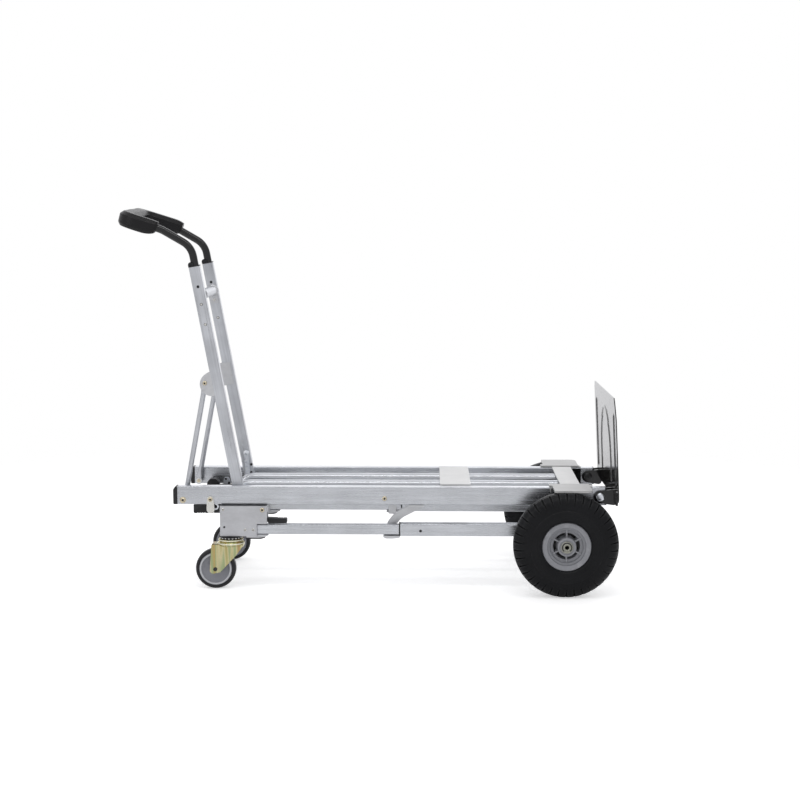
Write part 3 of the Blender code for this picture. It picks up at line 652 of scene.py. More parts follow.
def fender(name, side):
    """Wheel guard on the rail, with round outer corners, a turned-down lip and a rolled end."""
    x, y, z = limits("fender_left")
    outline = rounded(rectangle(x, y), mm(2, 2, 16, 16), 8)
    lip = 1.6 * MM
    inner = rounded(rectangle((x[0] + lip, x[1] - lip), (y[0] - 0.01, y[1] - lip)), mm(2, 2, 15, 15), 8)
    room = prism(inner, (z[0] - 0.01, z[0] + 0.9 * MM), "Z")
    body = prism(outline, (z[0] - 0.3 * MM, z[1] + 2 * MM), "Z")
    over_rail = block((x[0] - 0.01, x[1] + 0.01), (y[0] - 0.01, RAIL_Y[1]), 0,
        (z[0] - 0.01, z[0] - 0.1 * MM), "Z")
    early = block((x[0] - 0.01, x[0] + 7 * MM), (RAIL_Y[1] + 0.5 * MM, y[1] + 0.01), 0,
        (z[0] - 0.01, z[1] + 0.02), "Z")
    curl = offsets(x[0], z[1], [(8, -0.4), (2.6, -2.4), (1.2, -7), (2.4, -15), (4.6, -14.4), (3.4, -7),
        (8, -3)])
    curled = prism(curl, (RAIL_Y[1] + 0.6 * MM, RAIL_Y[1] + 4 * MM))
    piece(f"fender_{name}_pressed", body, GUARD_PLATE, "frame", [f"fender_{name}"], side,
        cuts=[room, over_rail, early], bevel=0.6 * MM)
    piece(f"fender_curl_{name}", curled, GUARD_PLATE, "frame", (), side, bevel=0.5 * MM)


def hinge_shade_plate(name, side):
    """Black plate on the rail's inner face, beside the toe plate's hinge, standing in as painted shade on
    that face.
    """
    # a thin black plate that paints the shade on the rail's inner face
    outline = rounded(rectangle((0.5242, 0.5502), (RAIL_Z[0] + 2 * MM, RAIL_Z[1] - 1.4 * MM)), MM)
    piece(f"hinge_shade_plate_{name}", prism(outline, (RAIL_Y[0] - 2 * MM, RAIL_Y[0])), GLOSS_BLACK_AND_SHADE, "frame",
        (), side, bevel=0.5 * MM)


def rail_end_strap(name, side):
    """Thin pale strap on top of the rail, between the wheel guard and the hinge."""
    start = limits("fender_left")[0][1] + 0.3 * MM
    outline = rounded(rectangle((start, 0.5500), (RAIL_Y[0] + MM, RAIL_Y[1])), 2 * MM)
    strap = prism(outline, (RAIL_Z[1] + 0.1 * MM, RAIL_Z[1] + 2.8 * MM), "Z")
    piece(f"rail_end_strap_{name}", strap, PALE_PLATE, "frame", (), side, bevel=0.5 * MM)


def axle_bracket(name, side):
    """Black plate under the rail with a raised boss round the axle."""
    x, y, z = limits("axle_bracket_left")
    centre = (AXLE.x, AXLE.z)
    boss = 20 * MM
    foot = arc(centre, boss, 180, 360, 16)
    outline = foot + [(x[1], z[1] - 12 * MM), (x[1], z[1]), (x[0], z[1]), (x[0], z[1] - 12 * MM)]
    rib = turned([(16 * MM, y[0] - 1.2 * MM), (16 * MM, y[1]), (AXLE_BORE, y[1]),
        (AXLE_BORE, y[0] - 1.2 * MM)], AXLE)
    bore = rod(AXLE_BORE, (y[0] - 0.01, y[1] + 0.01), AXLE, "Y", 36)
    piece(f"axle_bracket_{name}_plate", prism(outline, y), GLOSS_BLACK_AND_SHADE, "frame",
        [f"axle_bracket_{name}"], side, joins=[rib], cuts=[bore], bevel=0.8 * MM)


def axle():
    """Hollow axle with turned ends, and a washer and a retaining ring outside each hub."""
    y = limits("axle")[1]
    radius, bore = 10 * MM, 5 * MM
    profile = [(bore + 0.8 * MM, y[0]), (radius - MM, y[0]), (radius, y[0] + MM), (radius, y[1] - MM),
        (radius - MM, y[1]), (bore + 0.8 * MM, y[1]), (bore, y[1] - 0.8 * MM), (bore, y[0] + 0.8 * MM)]
    piece("axle_tube", turned(profile, AXLE), AGED_STEEL, "frame", ["axle"], bevel=0)
    for name, side in SIDES.items():
        face = limits("hub_left")[1][1]
        washer = turned([(radius + 0.2 * MM, face + 0.1 * MM), (14.5 * MM, face + 0.1 * MM),
            (14.5 * MM, face + 1.0 * MM), (13.9 * MM, face + 1.5 * MM),
            (radius + 0.2 * MM, face + 1.5 * MM)], AXLE)
        fitting(f"axle_washer_{name}", washer, AGED_STEEL, "frame", side)
        clip = arc((AXLE.x, AXLE.z), 12.6 * MM, -50, 230, 24)
        clip += arc((AXLE.x, AXLE.z), 10.1 * MM, 230, -50, 24)
        piece(f"axle_ring_{name}", prism(clip, (face + 1.6 * MM, face + 2.6 * MM)), DARK, "frame",
            (), side, bevel=0.2 * MM)


def rail_bolts(name, side):
    """Bolts and a pin on the outside of a rail, and a small stop block with pins inside it."""
    face = RAIL_Y[1]
    washer = rod(8 * MM, (face, face + 0.8 * MM), BRACE_FOOT)
    shank = rod(4 * MM, (0.112, face - MM), BRACE_FOOT, "Y", 24)
    bolt(f"brace_foot_fastener_{name}", BRACE_FOOT, face + 0.6 * MM, 6.6 * MM, 3.4 * MM, BRASSY, "frame",
        side, [washer, shank], [f"brace_foot_bolt_{name}"])
    bolt(f"rail_screw_{name}", (0.039, 0, 0.2254), face, 6 * MM, 2.6 * MM, BRASSY, "frame", side)
    small = dome((-0.410, 0, 0.2225), face, 1.8 * MM, 0.7 * MM)
    fitting(f"rail_pin_{name}", small, ALU_CAST, "frame", side)
    stop = prism(rounded([(-0.3968, 0.2085), (-0.3778, 0.2085), (-0.3778, 0.2160), (-0.3830, 0.2262),
        (-0.3930, 0.2262), (-0.3968, 0.2180)], 2 * MM), (0.1335, RAIL_Y[0] - 0.1 * MM))
    piece(f"rail_stop_{name}", stop, WHITE_ZINC, "frame", (), side, bevel=0.5 * MM)
    pins = [rod(radius, (0.1328, 0.1334), (pin_x, 0, pin_z), "Y", 20)
        for pin_x, pin_z, radius in ((-0.3895, 0.2225, 2.8 * MM), (-0.3815, 0.2118, 3.4 * MM))]
    fitting(f"rail_stop_pins_{name}", merged(*pins), DARK, "frame", side)


# ---- toe plate ---------------------------------------------------------------------
def smooth_step(value):
    """Eases from 0 to 1 as the value goes from 0 to 1."""
    value = min(max(value, 0), 1)
    return value * value * (3 - 2 * value)


def bead_height(y, z, top):
    """Relief of the pressed beads: an arch in the middle and a straight bead at each side."""
    half_width = 4.2 * MM
    straight = abs(abs(y) - 0.174)
    fade = smooth_step((top - 36 * MM - z) / (10 * MM)) * smooth_step((z - 0.252) / (8 * MM))
    high = fade * (1 - smooth_step(straight / half_width))
    crown = top - 43 * MM
    spring = crown - 0.115
    reach = 0.090
    if z < spring:
        gap = abs(abs(y) - reach)
    else:
        rise = (z - spring) / (crown - spring)
        edge = reach * math.sqrt(max(1 - rise * rise, 0)) ** 1.25
        slope = math.hypot(abs(y) / reach, rise)
        gap = abs(abs(y) - edge) if rise < 0.72 else abs(slope - 1) * reach
    foot = smooth_step((z - 0.252) / (8 * MM))
    return max(high, foot * (1 - smooth_step(gap / half_width)))


def toe_plate():
    """Gloss black load plate with pressed beads, round lower and slanted upper corners."""
    (_, front_x), (y0, y1), (z0, z1) = limits("toe_plate")
    foot_x, top_x = front_x + 0.8 * MM, front_x - 12.4 * MM
    thick = 2.6 * MM
    depth = 2.1 * MM
    foot_corner = 22 * MM
    columns, rows = 210, 110
    shape = bmesh.new()

    def point(column, row, back):
        y = y0 + (y1 - y0) * column / columns
        from_side = min(y - y0, y1 - y)
        cut = 0
        if from_side < foot_corner:
            cut = foot_corner - math.sqrt(foot_corner ** 2 - (foot_corner - from_side) ** 2)
        slant, wide = (52 * MM, 28 * MM) if y < 0 else (16 * MM, 8 * MM)
        low, high = z0 + 13 * MM + cut, z1 - slant * max(1 - from_side / wide, 0) ** 1.3
        z = low + (high - low) * row / rows
        x = foot_x + (top_x - foot_x) * (z - z0) / (z1 - z0) - 5.1 * MM
        x -= depth * bead_height(y, z, z1)
        x -= 6 * MM * (y - y0) / (y1 - y0)
        return Vector((x + (thick if back else 0), y, z))

    faces = [[[shape.verts.new(point(column, row, back)) for row in range(rows + 1)]
        for column in range(columns + 1)] for back in (False, True)]
    for side in faces:
        for column in range(columns):
            for row in range(rows):
                shape.faces.new((side[column][row], side[column + 1][row], side[column + 1][row + 1],
                    side[column][row + 1]))
    front, rear = faces
    for column in range(columns):
        for row in (0, rows):
            shape.faces.new((front[column][row], front[column + 1][row], rear[column + 1][row],
                rear[column][row]))
    for row in range(rows):
        for column in (0, columns):
            shape.faces.new((front[column][row], front[column][row + 1], rear[column][row + 1],
                rear[column][row]))
    piece("toe_plate_pressed", shape, LOAD_BLACK, "toe_plate_body", ["toe_plate"],
        bevel=0, sharp=50)


def toe_bracket(name, side):
    """Clevis with round ears that hangs the plate on its hinge, and the hinge bolt's head and nut."""
    y, z = limits("toe_bracket_left")[1:]
    ear = 5 * MM
    outline = arc((TOE_PIVOT.x, TOE_PIVOT.z), 16 * MM, 80, 250, 18)
    back = limits("toe_plate")[0][1] - (3.2 * MM if side < 0 else 8.6 * MM)
    outline += arc((back - 9 * MM, z[0] + 10 * MM), 9 * MM, 270, 360, 10)
    outline += [(back - MM, z[1] - MM), (back - 4 * MM, z[1])]
    outer_y = (RAIL_Y[1] + 0.3 * MM, RAIL_Y[1] + 0.3 * MM + ear)
    inner_y = (RAIL_Y[0] - 0.3 * MM - ear, RAIL_Y[0] - 0.3 * MM)
    web_x = (back - 5.5 * MM, back - 1.4 * MM)
    web = prism(rounded(rectangle((inner_y[0] + MM, y[1]), (z[0] + 4 * MM, z[1] - 3 * MM)), mm(1, 5, 5, 1)),
        web_x, "X")
    piece(f"toe_bracket_{name}_clevis", prism(outline, outer_y), GLOSS_BLACK_AND_SHADE, "toe_plate_body",
        [f"toe_bracket_{name}"], side, joins=[prism(outline, inner_y), web],
        bevel=0.8 * MM)
    seat = outer_y[1]
    head = turned(offsets(0, seat, [(0, 0), (10.2, 0), (10.2, 2.2), (9.4, 4), (7.2, 5.2), (3.6, 5.7),
        (0, 5.8)]), TOE_PIVOT, "Y", 40)
    piece(f"toe_hinge_head_{name}", head, WHITE_ZINC, "frame", (), side, bevel=0, sharp=40)
    shank_y = (inner_y[0] - 0.2 * MM, seat - MM)
    shank = rod(6 * MM, shank_y, TOE_PIVOT, "Y", 28)
    nut_y = inner_y[0] - 0.4 * MM
    nut = turned(offsets(0, nut_y, [(0, 0), (10.4, 0), (10.4, -2.6), (9, -4.4), (6, -5.2),
        (3.4, -5.2, True), (3.4, -3, True), (0, -3)]), TOE_PIVOT, "Y", 36)
    piece(f"toe_hinge_fastener_{name}", merged(shank, nut), DARK, "frame",
        [f"toe_hinge_bolt_{name}"], side, bevel=0, sharp=40)


# ---- main wheels -------------------------------------------------------------------
LUGS = 38


def tread_cut(phase, across, radius):
    """How deep the tread is cut, from 0 to 1, at a place of one lug's period."""
    shoulder = abs(across) > 11 * MM
    if shoulder:
        shifted = (phase + (0.5 if across > 0 else 0)) % 1
        cut = smooth_step((abs(shifted - 0.5) - 0.40) / 0.05)
        return cut * (0.3 * smooth_step((radius - 0.098) / (2.5 * MM))
            + 0.7 * smooth_step((radius - 0.104) / (14 * MM)))
    wave = 3 * MM * abs(2 * phase - 1) - 1.5 * MM
    groove = min(abs(across - wave - 7.5 * MM), abs(across - wave + 7.5 * MM))
    return 1 - smooth_step((groove - 1.2 * MM) / (0.8 * MM))


def tyre(name, side):
    """Tyre with ringed side walls, shoulder lugs and zigzag ribs."""
    y, z = limits("tyre_left")[1:]
    middle, half = sum(y) / 2, (y[1] - y[0]) / 2
    outer = (z[1] - z[0]) / 2 + 0.8 * MM
    rim = 59.3 * MM
    wall = offsets(rim, half, [(0, -10), (1.6, -6.2), (3.6, -4.6), (4.4, -4.2), (5.2, -3.2), (10, -1.3),
        (14.2, -0.8), (15.2, -0.2), (16.7, -0.2), (17.7, -0.6), (24.7, -0.4), (26.7, 0), (28.7, 0),
        (29.7, -0.9), (32.2, -0.9), (36.7, -1.6), (42.7, -3.4), (48.7, -6), (54.7, -9), (59.7, -12.6),
        (63.5, -17), (65.9, -22)])
    crown = [(outer - 1.2 * MM * (across / (17 * MM)) ** 2, across)
        for across in mm(15, 12.5, 11.2, 10.8, 9.6, 8.6, 7.4, 6.2, 5.0, 4.0, 2.0)]
    near = wall + crown
    section = near + [(outer, 0)] + [(radius, -across) for radius, across in reversed(near)]
    inner = [(rim, -half + 12 * MM), (rim, half - 12 * MM)]
    phases = [0.0, 0.045, 0.07, 0.09, 0.11, 0.25, 0.39, 0.41, 0.43, 0.455, 0.5, 0.545, 0.57, 0.59, 0.61,
        0.75, 0.89, 0.91, 0.93, 0.955]
    depth, grooves_from = 4.2 * MM, 107.5 * MM
    shape = bmesh.new()
    rings = []
    for lug in range(LUGS):
        for phase in phases:
            angle = 2 * math.pi * (lug + phase) / LUGS
            ring = []
            for index, (radius, across) in enumerate(section):
                before = section[max(index - 1, 0)]
                after = section[min(index + 1, len(section) - 1)]
                normal = Vector((before[1] - after[1], after[0] - before[0])).normalized()
                cut = depth * tread_cut(phase, across, radius) if radius > grooves_from else 0
                r, a = radius - normal.x * cut, across - normal.y * cut
                ring.append((r, a))
            ring += inner
            rings.append([shape.verts.new((AXLE.x + r * math.cos(angle), middle + a,
                AXLE.z + r * math.sin(angle))) for r, a in ring])
    for index, near_ring in enumerate(rings):
        join_rings(shape, near_ring, rings[(index + 1) % len(rings)])
    piece(f"tyre_{name}_tread", shape, TYRE, f"wheel_{name}", [f"tyre_{name}"], side,
        bevel=0, sharp=38)


def hub(name, side):
    """Moulded hub: rim flange, dish with six windows and ribs, a long boss, and a black disc behind the
    windows that paints the shade in them.
    """
    y = limits("hub_left")[1]
    face = limits("tyre_left")[1][1] - 8.6 * MM
    rim = 59.1 * MM
    boss = 23.2 * MM
    inner = y[0]
    section = [(AXLE_BORE, inner), (20.5 * MM, inner), (21.5 * MM, inner + MM), (21.5 * MM, face - 34 * MM),
        (44 * MM, face - 34 * MM), (50 * MM, face - 48 * MM), (56 * MM, face - 60 * MM),
        (rim, face - 60 * MM), (rim, face - 1.4 * MM), (rim - 1.2 * MM, face),
        *offsets(0, face, [(48.4, -0.4), (46.8, -1.4), (45.4, -5.4), (44.6, -6.2), (41.6, -7), (40.4, -8.4),
        (39.4, -11.4), (38.2, -12.4), (33, -13.2), (32.2, -14.4), (31.8, -24)]),
        (boss + MM, face - 24 * MM), (boss, face - 23 * MM), (boss - 0.6 * MM, y[1] - 2.0 * MM),
        (boss - 1.8 * MM, y[1] - 0.8 * MM), (18.4 * MM, y[1] - 0.4 * MM), (17.6 * MM, y[1] - 1.4 * MM),
        (AXLE_BORE, y[1] - 1.4 * MM)]
    ribs, windows = [], []
    for index in range(6):
        turn = Matrix.Rotation(math.radians(60 * index), 4, "Y")
        place = Matrix.Translation((AXLE.x, 0, AXLE.z)) @ turn
        rib = prism([(-1.9 * MM, boss - 2 * MM), (1.9 * MM, boss - 2 * MM), (1.7 * MM, 46 * MM),
            (-1.7 * MM, 46 * MM)], (face - 25 * MM, face - 10.6 * MM))
        ribs.append(moved(rib, place))
        opening = arc((0, 0), 24.6 * MM, 66, 114, 6) + arc((0, 0), 31.4 * MM, 114, 66, 6)
        window = prism(opening, (face - 40 * MM, face - 20 * MM))
        windows.append(moved(window, place @ Matrix.Rotation(math.radians(30), 4, "Y")))
    piece(f"hub_{name}_moulded", turned(section, AXLE, "Y", 72), HUB, f"wheel_{name}",
        [f"hub_{name}"], side, joins=ribs, cuts=windows, bevel=0.5 * MM, sharp=35)
    # black disc behind the windows: painted shade seen through them
    back = turned(offsets(0, face, [(21.8, -38), (44.5, -38), (44.5, -36), (21.8, -36)]), AXLE)
    piece(f"hub_window_shade_{name}", back, BLACK_PLASTIC_AND_SHADE, f"wheel_{name}", (), side, bevel=0)


# ---- folding handle ----------------------------------------------------------------
POST_BASE = Vector((-0.3214, 0, 0.2206))
POST = Matrix.Translation(POST_BASE) @ Matrix.Rotation(-LEAN, 4, "Y")
POST_Y = (0.1075, 0.1325)
POST_HALF = 13.4 * MM
POST_SPAN = (0.016, 0.5825)
LOOP_RADIUS = 9.5 * MM
LOOP_SHIFT = 1.8 * MM
BRACE_Y = 0.120
GUSSET_ALONG = 0.2912
GRIP_RISE = math.radians(19)


def rivet(along, face, outward, radius, height):
    """Small domed rivet on a side face of an upright, in the upright's own frame."""
    profile = [(0, face), (radius, face), (radius, face + outward * 0.25 * height),
        (0.75 * radius, face + outward * 0.8 * height), (0, face + outward * height)]
    return moved(turned(profile, (0, 0, along), "Y", 20), POST)


def upright(name, side):
    """Hollow square leg of the handle, with its adjusting hole, its plug and its rivets."""
    tube = square_tube((-POST_HALF, POST_HALF), POST_Y, POST_SPAN, 3 * MM, 2 * MM, "Z")
    hole = rod(3.6 * MM, (POST_Y[0] - MM, POST_Y[1] + MM), (0.4 * MM, 0, 0.533), "Y", 24)
    piece(f"upright_{name}_tube", moved(tube, POST), ALU_POST, "handle",
        [f"upright_{name}"], side, cuts=[moved(hole, POST)], bevel=0.25 * MM)
    plug = block((-POST_HALF + 2.3 * MM, POST_HALF - 2.3 * MM),
        (POST_Y[0] + 2.3 * MM, POST_Y[1] - 2.3 * MM), 0, (0.527, 0.5395), "Z")
    piece(f"upright_plug_{name}", moved(plug, POST), BLACK_PLASTIC_AND_SHADE, "handle", (), side, bevel=0)
    sides = ((POST_Y[1] - 0.1 * MM, 1), (POST_Y[0] + 0.1 * MM, -1))
    # dark discs under the rivet heads: painted shade round each head
    shade_rings = [rivet(along, face, outward, 3.7 * MM, 0.5 * MM) for along in (0.489, 0.439)
        for face, outward in sides]
    fitting(f"upright_rivet_shade_rings_{name}", merged(*shade_rings), DARK, "handle", side)
    rivets = [rivet(along, face + outward * 0.52 * MM, outward, 2.9 * MM, 1.6 * MM)
        for along in (0.489, 0.439) for face, outward in sides]
    fitting(f"upright_rivets_{name}", merged(*rivets), ZINC, "handle", side)


def upright_collar(name, side):
    """Black moulded collar round the loop tube, raised at the back."""
    base = POST_SPAN[1] + 0.3 * MM
    half = POST_HALF + 0.3 * MM
    flange = block((-half, half), (POST_Y[0] - 0.3 * MM, POST_Y[1] + 0.3 * MM), 3.2 * MM,
        (base, base + 2.6 * MM), "Z")
    wedge = prism([*offsets(-half, base, [(0, 1), (0, 6.5), (0.8, 8.5), (2.4, 11), (6, 12.4)]),
        (0, base + 9 * MM), (0, base + MM)], (BRACE_Y - 11 * MM, BRACE_Y + 11 * MM))
    bore = rod(LOOP_RADIUS + 0.3 * MM, (base - 0.02, base + 0.04), (LOOP_SHIFT, BRACE_Y, 0), "Z", 32)
    piece(f"collar_{name}", moved(flange, POST), BLACK_PLASTIC_AND_SHADE, "handle",
        [f"upright_collar_{name}"], side, joins=[moved(wedge, POST)], cuts=[moved(bore, POST)],
        bevel=0.7 * MM)


def loop_route():
    """Centre line of the whole loop, from the right upright's socket to the left's."""
    slope = math.radians(150)
    neck = POST @ Vector((LOOP_SHIFT, 0, 0.6318))
    crook = neck + Vector((math.cos(slope), 0, math.sin(slope))) * 0.0833
    far_end = Vector((-0.5609, 0, 0.8995)) + Vector((-math.cos(GRIP_RISE), 0, math.sin(GRIP_RISE))) * 0.0392
    leg = [POST @ Vector((LOOP_SHIFT, 0, 0.5445)), neck, crook, far_end]
    for point in leg:
        point.y = -BRACE_Y
    whole = leg + [Vector((point.x, -point.y, point.z)) for point in reversed(leg)]
    radii = [0, 0.050, 0.080, 0.035, 0.035, 0.080, 0.050, 0]
    return rounded(whole, radii, 10, closed=False)


def resampled(route, spacing):
    """The same route with evenly spaced points."""
    points = [route[0].copy()]
    carried = 0
    for start, end in zip(route, route[1:]):
        length = (end - start).length
        at = spacing - carried
        while at < length:
            points.append(start.lerp(end, at / length))
            at += spacing
        carried = (carried + length) % spacing
    points.append(route[-1].copy())
    return points


def grip_section(scale):
    """Squarish grip section with a broad flat top and a ridge along each side."""
    corners = [(-11.0, -19.3), (11.0, -19.3), (17.6, -11.5), (19.2, 9.5), (11.0, 19.2), (-11.0, 19.2),
        (-19.2, 9.5), (-17.6, -11.5)]
    outline = rounded([Vector((a * MM, b * MM, 0)) for a, b in corners], mm(5, 5, 6, 2.5, 5, 5, 2.5, 6), 3)
    return [(point.x * scale, point.y * scale) for point in outline]


def handle_loop():
    """Black loop tube and the thick moulded grip round its end."""
    route = loop_route()
    piece("loop_tube", swept(resampled(route, 4 * MM), circle(LOOP_RADIUS, 28)), GLOSS_BLACK_AND_SHADE, "handle",
        ["handle_loop"], bevel=0)
    near_end, far_end = -0.5165, -0.4930
    covered = [point for point in resampled(route, 3 * MM)
        if point.x < (near_end if point.y < 0 else far_end) and point.z > 0.86]
    count = len(covered)
    sections = []
    for index in range(count):
        from_end = min(index, count - 1 - index) * 3 * MM
        ease = min(from_end / (36 * MM), 1)
        scale = 0.62 + 0.38 * math.sqrt(1 - (1 - ease) ** 2)
        tilt = 2.6 * MM * math.copysign(smooth_step(abs(covered[index].y) / 0.09), covered[index].y)
        sections.append([(a, b + tilt + (1 - scale) * 15 * MM) for a, b in grip_section(scale)])
    grip = swept(covered, sections, (math.sin(GRIP_RISE), 0, math.cos(GRIP_RISE)))
    piece("loop_grip", grip, GRIP, "handle", ["handle_grip"], bevel=0, sharp=24)


def handle_cross_bar():
    """Round bar between the uprights, on a riveted foot at each end."""
    along, radius = 0.5113, 12.5 * MM
    end = POST_Y[0] - 0.3 * MM
    bar = rod(radius, (-end, end), (0, 0, along), "Y", 40)
    piece("cross_bar_tube", moved(bar, POST), ALU_CROSS, "handle",
        ["handle_cross_bar"], bevel=0.8 * MM)
    for name, side in SIDES.items():
        outline = rounded(offsets(0, along, [(-10, -34), (10, -34), (12, 8), (7, 17), (-7, 17), (-12, 8)]),
            5 * MM)
        foot = prism(outline, (end - 2.2 * MM, end))
        ferrule = turned(offsets(radius, end, [(0.1, -7), (2, -6), (3.4, -2), (0.1, -2)]), (0, 0, along),
            "Y", 40)
        piece(f"cross_bar_foot_{name}", moved(foot, POST), ALU_CAST, "handle", (),
            side, joins=[moved(ferrule, POST)], bevel=0.5 * MM)
        fitting(f"cross_bar_rivet_{name}", rivet(along - 25 * MM, end - 2.1 * MM, -1, 3.6 * MM, 1.8 * MM),
            ZINC, "handle", side)


def gusset(name, side):
    """Half-round bracket behind the upright that carries the brace's upper bolt."""
    lobe = 29.5 * MM
    half = POST_HALF + 0.3 * MM
    thick = 2.5 * MM
    round_end = [(-half - lobe * math.sin(math.radians(angle)),
        GUSSET_ALONG + lobe * math.cos(math.radians(angle))) for angle in range(0, 181, 9)]
    outer = [(-POST_HALF + 2.6 * MM, GUSSET_ALONG + lobe)] + round_end
    outer += [(-POST_HALF + 2.6 * MM, GUSSET_ALONG - lobe)]
    inner = [(8 * MM, GUSSET_ALONG + lobe)] + round_end + [(8 * MM, GUSSET_ALONG - lobe)]
    outer_y = (POST_Y[1] - thick - 0.4 * MM, POST_Y[1] - 0.4 * MM)
    inner_y = (POST_Y[0] - 0.3 * MM - thick, POST_Y[0] - 0.3 * MM)
    web = block((-half - thick, -half), (GUSSET_ALONG - 26 * MM, GUSSET_ALONG + 26 * MM), 0,
        (inner_y[0] + 0.5 * MM, outer_y[1] - 0.4 * MM))
    piece(f"gusset_{name}_bracket", moved(prism(outer, outer_y), POST), ALU_CAST, "handle",
        [f"gusset_{name}"], side, joins=[moved(prism(inner, inner_y), POST),
        moved(web, POST)], bevel=0.6 * MM)
    pin_y = (inner_y[0] - MM, outer_y[1] - 0.2 * MM)
    pin = rod(4 * MM, pin_y, BRACE_TOP, "Y", 28)
    bolt(f"brace_top_fastener_{name}", BRACE_TOP, outer_y[1] + 0.5 * MM, 5.6 * MM, 3 * MM, BRASSY, "handle",
        side, [pin])


def upright_foot(name, side):
    """Foot of the upright: black shoe with its pin, and inside a strap with a knob and two bolts."""
    outline = arc((FOOT_PIN.x, FOOT_PIN.z), 9 * MM, 120, 270, 14)
    low = POST @ Vector((POST_HALF, 0, POST_SPAN[0] - 0.3 * MM))
    high = POST @ Vector((-POST_HALF, 0, POST_SPAN[0] - 0.3 * MM))
    outline += [(low.x - 0.4 * MM, 0.2116), (low.x, low.z), (high.x, high.z)]
    pin = rod(4 * MM, (0.125, 0.155), FOOT_PIN, "Y", 24)
    piece(f"foot_shoe_{name}_moulded", prism(outline, POST_Y), BLACK_PLASTIC_AND_SHADE, "handle",
        [f"foot_shoe_{name}"], side, joins=[pin], bevel=0.8 * MM)
    face = POST_Y[0] - 0.2 * MM
    strap = prism(rounded([(-9 * MM, 0.016), (3 * MM, 0.016), (9 * MM, 0.080), (-1.5 * MM, 0.080)],
        mm(2, 2, 4, 4), 6), (face - 4 * MM, face))
    knob = turned(offsets(0, face, [(0, -3), (7.2, -3), (6.6, -6.2), (3, -7.6), (0, -7.8)]),
        POST @ Vector((4 * MM, 0, 0.0775)), "Y", 28)
    piece(f"foot_strap_{name}", moved(strap, POST), WHITE_ZINC, "handle", (), side,
        joins=[knob], bevel=0.8 * MM)
    bolts = []
    for x, z in ((-0.3185, 0.2662), (-0.3190, 0.2445)):
        bolts.append(turned(offsets(0, face, [(0, 0), (3.6, 0), (3.6, -1.5), (2.6, -3), (0, -3.2)]),
            (x, 0, z), "Y", 24))
    fitting(f"foot_strap_bolts_{name}", merged(*bolts), DARK, "handle", side)


def brace_rod(name, side):
    """Round brace rod, flattened into an eye at each end."""
    radius = 6.35 * MM
    foot = Vector((BRACE_FOOT.x, BRACE_Y, BRACE_FOOT.z))
    top = Vector((BRACE_TOP.x, BRACE_Y, BRACE_TOP.z))
    length = (top - foot).length
    stations = mm(0, 6, 12, 18, 24, 30)
    stations += [length - station for station in reversed(stations)]
    route = [foot.lerp(top, station / length) for station in stations]
    sections = []
    for station in stations:
        flat = 1 - smooth_step((min(station, length - station) - 8 * MM) / (20 * MM))
        sections.append([(a * (1 + 0.36 * flat), b * (1 - 0.36 * flat))
            for a, b in circle(radius, 28, power=2 + flat)])
    shape = swept(route, sections, (0, 1, 0))
    eyes, bores = [], []
    for end in (foot, top):
        thin = 0.64 * radius
        eyes.append(rod(9 * MM, (BRACE_Y - thin, BRACE_Y + thin), end, "Y", 36))
        bores.append(rod(4.3 * MM, (0.11, 0.13), end, "Y", 28))
    piece(f"brace_rod_{name}_drawn", shape, ALU_BRACE, "braces",
        [f"brace_rod_{name}"], side, joins=eyes, cuts=bores, bevel=0.5 * MM, sharp=35)
    spacers = [turned([(4.3 * MM, BRACE_Y + sign * 4.3 * MM), (7 * MM, BRACE_Y + sign * 4.3 * MM),
        (7 * MM, BRACE_Y + sign * 6.3 * MM), (4.3 * MM, BRACE_Y + sign * 6.3 * MM)], end, "Y", 28)
        for end in (foot, top) for sign in (1, -1)]
    fitting(f"brace_spacers_{name}", merged(*spacers), ZINC, "braces", side)


# ---- caster frame ------------------------------------------------------------------
STRUT_Y, STRUT_Z = 0.161, 0.149
STRUT_HALF, INNER_HALF = 15 * MM, 12 * MM
STRUT_X = (0.078, 0.478)
HOUSING_X = (-0.366, -0.275, -0.250)
HOUSING_Y = (0.142, 0.180)
HOUSING_Z = (0.133, 0.164, 0.2088)


def around(half):
    """Y and Z limits of a square section on the strut's line."""
    return (STRUT_Y - half, STRUT_Y + half), (STRUT_Z - half, STRUT_Z + half)


def outer_strut(name, side):
    """Square outer tube of the caster frame: boss on the axle, black collar and a dark side hole."""
    y, z = around(STRUT_HALF)
    tube = block(y, z, 2.6 * MM, STRUT_X, "X")
    boss = rod(19 * MM, y, AXLE, "Y", 44)
    room_y, room_z = around(INNER_HALF + 0.3 * MM)
    room = block(room_y, room_z, MM, (STRUT_X[0] - 0.01, 0.400), "X")
    bore = rod(AXLE_BORE, (y[0] - MM, y[1] + MM), AXLE, "Y", 36)
    hole = rod(3.5 * MM, (y[1] - 2 * MM, y[1] + MM), (0.128, 0, 0.147), "Y", 24)
    piece(f"outer_strut_{name}_tube", tube, ALU_DECK, "caster_frame",
        [f"outer_strut_{name}"], side, joins=[boss], cuts=[room, bore, hole], bevel=0.3 * MM)
    outer_y, outer_z = around(STRUT_HALF + 0.6 * MM)
    collar = square_tube(outer_y, outer_z, (STRUT_X[0] - 3.4 * MM, STRUT_X[0] - 0.1 * MM), 3 * MM, 3.2 * MM)
    piece(f"strut_collar_{name}", collar, BLACK_PLASTIC_AND_SHADE, "caster_frame", (), side,
        bevel=0.4 * MM)
    dark = rod(3.4 * MM, (y[1] - 1.9 * MM, y[1] - 1.5 * MM), (0.128, 0, 0.147), "Y", 24)
    fitting(f"strut_hole_pin_{name}", dark, DARK, "caster_frame", side)


def band(route, half):
    """An outline that follows a route of (x, z) points at a distance on both sides."""
    upper, lower = [], []
    for index, point in enumerate(route):
        before = route[max(index - 1, 0)]
        after = route[min(index + 1, len(route) - 1)]
        along = (after - before).normalized()
        upper.append((point.x - along.y * half, point.y + along.x * half))
        lower.append((point.x + along.y * half, point.y - along.x * half))
    return upper + lower[::-1]


